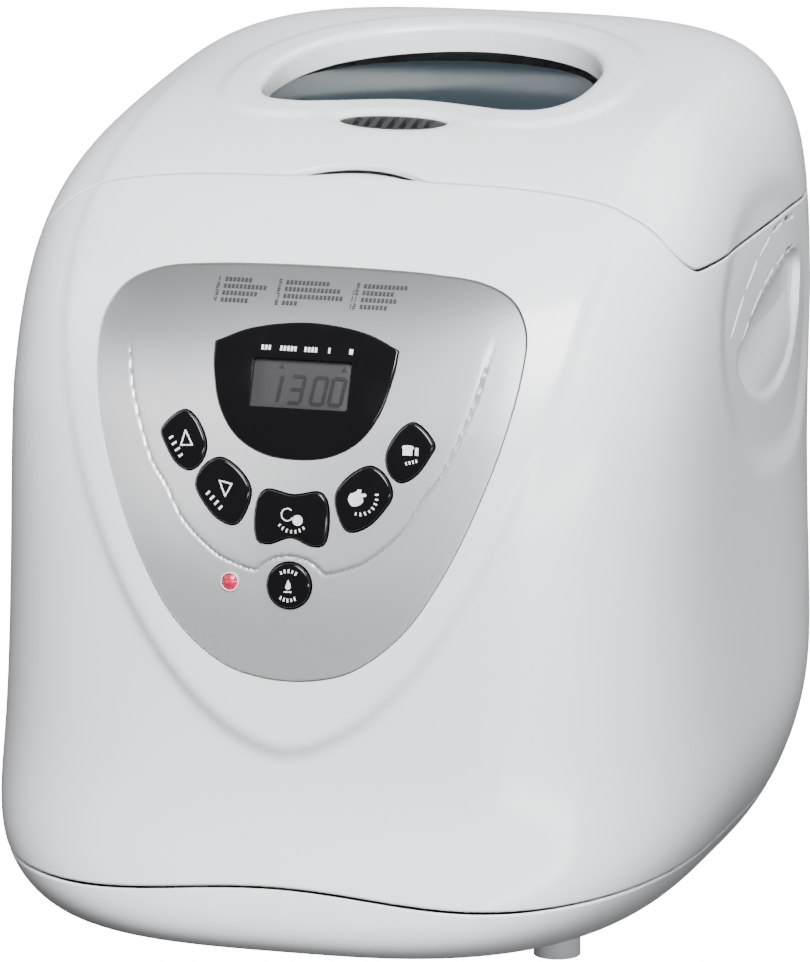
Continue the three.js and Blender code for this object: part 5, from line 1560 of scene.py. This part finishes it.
def heater_piece(name):
    low, high = (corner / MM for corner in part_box("heating_element"))
    z = (low.z + high.z) / 2
    half = [(p + c) / 2 - 0.5 for p, c in zip(PAN_HALF, CHAMBER_HALF)]
    turns = np.linspace(math.pi + HEATER_GAP, 3 * math.pi - HEATER_GAP, 60)
    loop = [(*rounded_box(a, half, HEATER_POWER), z) for a in turns]
    tails = [[(-CHAMBER_HALF[0] - 9, CHAMBER_Y + dy, z), (-CHAMBER_HALF[0] + 4, CHAMBER_Y + dy, z)]
             for dy in (-HEATER_TAIL_Y, HEATER_TAIL_Y)]
    return crisp(wire(name, [*tails[0], *loop, *tails[1][::-1]], (high.z - low.z) / 2, 3), 50)


def gland_piece(name):
    """The ribbed sleeve at the back where the mains lead goes in."""
    low, high = (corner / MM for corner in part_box("cord_gland"))
    x, z, back, depth = (low.x + high.x) / 2, (low.z + high.z) / 2, high.y, high.y - low.y
    flange, sleeve, hole = (high.x - low.x) / 2, 7.0, 4.0
    profile = [(hole, 0), (flange, 0), (flange, depth * 0.53), (sleeve, depth * 0.53)]
    for rib in range(3):
        at = depth * (0.6 + rib * 0.12)
        profile += [(sleeve, at), (sleeve - 0.5, at + 0.25), (sleeve - 0.5, at + 0.55), (sleeve, at + 0.8)]
    profile += [(sleeve, depth - 0.5), (sleeve - 0.5, depth), (hole + 0.6, depth), (hole, depth - 0.6)]
    gland = turned(name, profile, 0, 0, 64)
    turn = Matrix.Rotation(-math.pi / 2, 4, "X")
    gland.data.transform(Matrix.Translation(Vector((x, low.y, z)) * MM) @ turn)
    return crisp(gland, 40)


# ---- stage ---------------------------------------------------------------------------------------
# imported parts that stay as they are, each with its finish
KEPT_NODES = {node: finish for finish, nodes in {
    "board": ("control_board", "power_board"),
    "cast": ("transformer", "bearing_bracket", "drive_coupling", "motor", "pan_skirt", "pan_coupling"),
    "dark": ("run_capacitor", "drive_belt", "hinge_bracket_left", "hinge_bracket_right"),
    "steel": ("temperature_sensor", "drive_shaft", "motor_pulley", "pan_shaft", "hinge_pin_left",
              "hinge_pin_right", "base_screw_front_left", "base_screw_front_right",
              "base_screw_rear_left", "base_screw_rear_right"),
    "nylon": ("heater_support_front", "heater_support_rear", "drive_pulley"),
    "sheet": ("pan_lock_ring", "motor_bracket"),
    "brass": ("pan_bush",),
}.items() for node in nodes}
AIM = (0, 6.2, 165)
AIM_RIGHT, AIM_UP = -3.74, -13.84
# name, width and height in metres, degrees to the right of the front and above level
LIGHTS = (("key_light", (1.7, 1.7), 24, 46), ("left_light", (1.2, 1.6), -70, 35),
          ("rim_light", (2.2, 1.2), 150, 50), ("low_light", (2.4, 0.3), 40, 4))
LIGHT_DISTANCE = 3.0


def direction(azimuth, elevation):
    """The unit vector towards this angle to the right of the front, and this angle above level."""
    level = math.cos(elevation)
    return Vector((math.sin(azimuth) * level, -math.cos(azimuth) * level, math.sin(elevation)))


def facing(place, target):
    """The turn of a camera or lamp at a place that looks at the target."""
    return (place - target).to_track_quat("Z", "Y").to_euler()


def area_light(name, power, size, place, target):
    bpy.ops.object.light_add(type="AREA", location=place)
    lamp = bpy.context.object
    lamp.name = name
    lamp.data.shape = "RECTANGLE"
    lamp.data.size, lamp.data.size_y = size
    lamp.data.energy = power
    lamp.rotation_euler = facing(place, target)


def make_stage(scene):
    stage = scene.bread_stage
    back = direction(stage.azimuth, stage.elevation)
    right = direction(stage.azimuth + math.pi / 2, 0)
    target = Vector(AIM) * MM
    place = target + back * stage.distance
    aim = target + (right * AIM_RIGHT + back.cross(right) * AIM_UP) * MM
    bpy.ops.object.camera_add(location=place)
    camera = bpy.context.object
    camera.name = "camera"
    camera.data.lens = stage.lens
    camera.data.sensor_width = 36
    camera.data.clip_end = 60
    camera.rotation_euler = facing(place, aim)
    scene.camera = camera

    bpy.ops.mesh.primitive_plane_add(size=14)
    floor = added("floor")
    paper = Finish("white_paper", (0.9, 0.9, 0.9), 0.7)
    paper.tint(paper.noise(400), [0.89] * 3, [0.91] * 3)
    paper.set("Emission Color", (1, 1, 1, 1))
    paper.set("Emission Strength", stage.floor_glow)
    floor.data.materials.append(paper.material)
    floor.visible_diffuse = False
    floor.visible_glossy = False

    middle = Vector((0, 0, 0.15))
    for name, size, azimuth, elevation in LIGHTS:
        away = direction(math.radians(azimuth), math.radians(elevation)) * LIGHT_DISTANCE
        area_light(name, getattr(stage, name), size, middle + away, middle)

    world = bpy.data.worlds.new("surround")
    world.use_nodes = True
    light = world.node_tree.nodes["Background"]
    light.inputs["Color"].default_value = (1, 1, 1, 1)
    light.inputs["Strength"].default_value = stage.surround
    scene.world = world


# ---- settings ------------------------------------------------------------------------------------
def colour(name, description, default):
    return FloatVectorProperty(name=name, description=description, subtype="COLOR", size=3, min=0, max=1,
                               default=default)


def number(name, description, default, **limits):
    return FloatProperty(name=name, description=description, default=default, **limits)


class BreadMachineColours(bpy.types.PropertyGroup):
    """Colours of the outer finishes."""
    housing: colour("Housing", "Glossy white plastic of the shells", (0.755, 0.79, 0.805))
    panel: colour("Panel", "Silver lacquer of the control panel", (0.5, 0.52, 0.535))
    keys: colour("Keys", "Gloss black of the keys and the display's surround", (0.003, 0.003, 0.0034))
    display: colour("Display", "Grey of the display", (0.034, 0.034, 0.037))
    lamp: colour("Lamp", "Red of the indicator lamp", (0.42, 0.006, 0.035))
    glass: colour("Glass", "Tint of the viewing window", (0.02, 0.03, 0.037))


class BreadMachineSizes(bpy.types.PropertyGroup):
    """Sizes of the outer details."""
    key_rise: number("Key Rise", "Height of the keys over the panel", 1.1 * MM,
                     unit="LENGTH", min=0.3 * MM, max=2 * MM)
    key_crown: number("Key Crown", "Extra height in the middle of a key", 0.3 * MM,
                      unit="LENGTH", min=0, max=1 * MM)
    key_edge: number("Key Edge", "Radius of a key's upper edge", 0.9 * MM,
                     unit="LENGTH", min=0.2 * MM, max=2 * MM)
    foot_edge: number("Foot Edge", "Radius of a foot's lower edge", 1.2 * MM,
                      unit="LENGTH", min=0.2 * MM, max=2 * MM)


class BreadMachineStage(bpy.types.PropertyGroup):
    """Camera, lights and floor."""
    azimuth: number("Azimuth", "Camera's angle to the right of the front", math.radians(17.5),
                    subtype="ANGLE")
    elevation: number("Elevation", "Camera's angle above level", math.radians(10.76), subtype="ANGLE")
    distance: number("Distance", "Camera's distance", 2.8598, unit="LENGTH")
    lens: number("Lens", "Focal length in millimetres", 288.3)
    key_light: number("Key Light", "Watts of the large light in front", 285)
    left_light: number("Left Light", "Watts of the light on the left", 26)
    rim_light: number("Rim Light", "Watts of the light behind on the right", 36)
    low_light: number("Low Light", "Watts of the low light in front", 42)
    surround: number("Surround", "Brightness of the white surroundings", 0.12)
    floor_glow: number("Floor Glow", "Brightness of the floor itself", 16)


class Builder:
    """What every operator of this add-on shares."""
    bl_options = {"REGISTER", "UNDO"}

    def execute(self, context):
        bpy.ops.object.select_all(action="DESELECT")
        self.build(context.scene)
        bpy.ops.object.select_all(action="DESELECT")
        return {"FINISHED"}


class BREAD_OT_finishes(Builder, bpy.types.Operator):
    """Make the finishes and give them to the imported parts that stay"""
    bl_idname = "bread.finishes"
    bl_label = "Finishes"

    def build(self, scene):
        make_finishes(scene.bread_colours)
        for node, slot in KEPT_NODES.items():
            paint(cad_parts[node], slot)


class BREAD_OT_housing(Builder, bpy.types.Operator):
    """Build the housing with its bib, side hollows, louvres and openings"""
    bl_idname = "bread.housing"
    bl_label = "Housing"

    def build(self, scene):
        finished(housing_piece("housing"), "body", "housing", "housing_shell")


class BREAD_OT_base(Builder, bpy.types.Operator):
    """Build the base tray below the wavy seam"""
    bl_idname = "bread.base"
    bl_label = "Base"

    def build(self, scene):
        finished(base_piece("base"), "body", "housing", "base_tray")


class BREAD_OT_feet(Builder, bpy.types.Operator):
    """Build the four round feet"""
    bl_idname = "bread.feet"
    bl_label = "Feet"

    def build(self, scene):
        for place in ("front_left", "front_right", "rear_left", "rear_right"):
            low, high = (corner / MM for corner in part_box(f"foot_{place}"))
            foot = foot_piece(f"foot_pad_{place}", (low.x + high.x) / 2, (low.y + high.y) / 2, high.z - low.z,
                              (high.x - low.x) / 2, scene.bread_sizes.foot_edge / MM)
            finished(foot, "body", "rubber", f"foot_{place}")


class BREAD_OT_lid(Builder, bpy.types.Operator):
    """Build the lid with its finger notch and the raised surround of the window"""
    bl_idname = "bread.lid"
    bl_label = "Lid"

    def build(self, scene):
        finished(lid_piece("lid"), "lid", "housing", "lid_shell")


class BREAD_OT_window(Builder, bpy.types.Operator):
    """Build the glass, its gasket and the lid's liner"""
    bl_idname = "bread.window"
    bl_label = "Window"

    def build(self, scene):
        finished(glass_piece("window_glass"), "lid", "glass", "lid_window")
        finished(gasket_piece("glass_gasket"), "lid", "dark", "window_gasket")
        finished(liner_piece("liner"), "lid", "sheet", "lid_liner")


class BREAD_OT_vent(Builder, bpy.types.Operator):
    """Build the oval steam vent with its bars"""
    bl_idname = "bread.vent"
    bl_label = "Steam Vent"

    def build(self, scene):
        finished(vent_piece("vent"), "lid", "grey", "steam_vent")


class BREAD_OT_panel(Builder, bpy.types.Operator):
    """Build the shield-shaped control panel and its programme table"""
    bl_idname = "bread.panel"
    bl_label = "Control Panel"

    def build(self, scene):
        finished(panel_piece("panel"), "body", "panel", "control_panel")
        table = flat_shape("programme_table", programme_table(), face_point)
        finished(table, "body", "panel", finish="print_dark")


class BREAD_OT_display(Builder, bpy.types.Operator):
    """Build the display, its figures and the gloss black surround"""
    bl_idname = "bread.display"
    bl_label = "Display"

    def build(self, scene):
        finished(lens_piece("lens"), "body", "black", "display_lens")
        finished(display_plate("display"), "body", "lcd", "lcd_module")
        figures = flat_shape("figures", display_figures(), face_at(DISPLAY_DEPTH))
        finished(figures, "body", "lcd", finish="digits")
        marks = flat_shape("display_marks", display_marks(), face_at(-LENS_RISE))
        finished(marks, "body", "black", finish="print_light")


class BREAD_OT_keys(Builder, bpy.types.Operator):
    """Build the six keys, each with its sign"""
    bl_idname = "bread.keys"
    bl_label = "Keys"

    def build(self, scene):
        sizes = scene.bread_sizes
        rise, crown, edge = sizes.key_rise / MM, sizes.key_crown / MM, sizes.key_edge / MM
        icons = key_icons()
        for node, (centre, outline) in KEYS.items():
            place = np.array(centre, float)
            key = cap(node.replace("_button", "_key"), outline, place, rise, crown, edge, KEY_DEPTH)
            finished(key, node, "black", node)
            sign = key_sign(node.replace("_button", "_sign"), icons[node], place, outline, rise, crown)
            finished(sign, node, "black", finish="print_light")


class BREAD_OT_lamp(Builder, bpy.types.Operator):
    """Build the red lamp and its pale ring"""
    bl_idname = "bread.lamp"
    bl_label = "Lamp"

    def build(self, scene):
        centre = np.array(LED_CENTRE)
        lens = cap("lamp", circle(LED_RADIUS, 40), centre, 0.2, 0.55, 0.8, 6)
        finished(lens, "body", "led", "status_led")
        finished(lamp_ring("lamp_ring"), "body", "panel", finish="pale")


class BREAD_OT_chamber(Builder, bpy.types.Operator):
    """Build the baking chamber, its deck and its heater"""
    bl_idname = "bread.chamber"
    bl_label = "Chamber"

    def build(self, scene):
        finished(chamber_piece("chamber"), "body", "sheet", "baking_chamber")
        finished(deck_piece("deck"), "body", "housing", "top_deck")
        finished(heater_piece("heater"), "body", "steel", "heating_element")


class BREAD_OT_pan(Builder, bpy.types.Operator):
    """Build the bread pan, its bail and the paddle"""
    bl_idname = "bread.pan"
    bl_label = "Pan"

    def build(self, scene):
        finished(pan_piece("pan"), "pan", "pan", "bread_pan")
        finished(bail_piece("bail"), "bail", "steel", "pan_handle")
        finished(paddle_piece("paddle"), "paddle", "cast", "kneading_paddle")


class BREAD_OT_gland(Builder, bpy.types.Operator):
    """Build the sleeve for the mains lead"""
    bl_idname = "bread.gland"
    bl_label = "Lead Sleeve"

    def build(self, scene):
        finished(gland_piece("lead_sleeve"), "body", "dark", "cord_gland")


class BREAD_OT_stage(Builder, bpy.types.Operator):
    """Set up the floor, the lights and the camera"""
    bl_idname = "bread.stage"
    bl_label = "Stage"

    def build(self, scene):
        make_stage(scene)


OPERATORS = (BREAD_OT_finishes, BREAD_OT_housing, BREAD_OT_base, BREAD_OT_feet, BREAD_OT_lid, BREAD_OT_window,
             BREAD_OT_vent, BREAD_OT_panel, BREAD_OT_display, BREAD_OT_keys, BREAD_OT_lamp, BREAD_OT_chamber,
             BREAD_OT_pan, BREAD_OT_gland, BREAD_OT_stage)


class BREAD_PT_sidebar(bpy.types.Panel):
    """Lists the settings and the operators"""
    bl_idname = "BREAD_PT_sidebar"
    bl_label = "Bread Machine"
    bl_space_type = "VIEW_3D"
    bl_region_type = "UI"
    bl_category = "Bread Machine"

    def draw(self, context):
        for group in (context.scene.bread_colours, context.scene.bread_sizes, context.scene.bread_stage):
            box = self.layout.box()
            for key in group.bl_rna.properties.keys():
                if key not in ("rna_type", "name"):
                    box.prop(group, key)
        for operator in OPERATORS:
            self.layout.operator(operator.bl_idname)


GROUPS = {"bread_colours": BreadMachineColours, "bread_sizes": BreadMachineSizes,
          "bread_stage": BreadMachineStage}


def register():
    for cls in (*GROUPS.values(), *OPERATORS, BREAD_PT_sidebar):
        bpy.utils.register_class(cls)
    for name, group in GROUPS.items():
        setattr(bpy.types.Scene, name, PointerProperty(type=group))


def unregister():
    for name in GROUPS:
        delattr(bpy.types.Scene, name)
    for cls in reversed((*GROUPS.values(), *OPERATORS, BREAD_PT_sidebar)):
        bpy.utils.unregister_class(cls)


def main():
    register()
    for operator in OPERATORS:
        group, name = operator.bl_idname.split(".")
        getattr(getattr(bpy.ops, group), name)()
    bpy.context.view_layer.update()


if __name__ == "__main__":
    main()
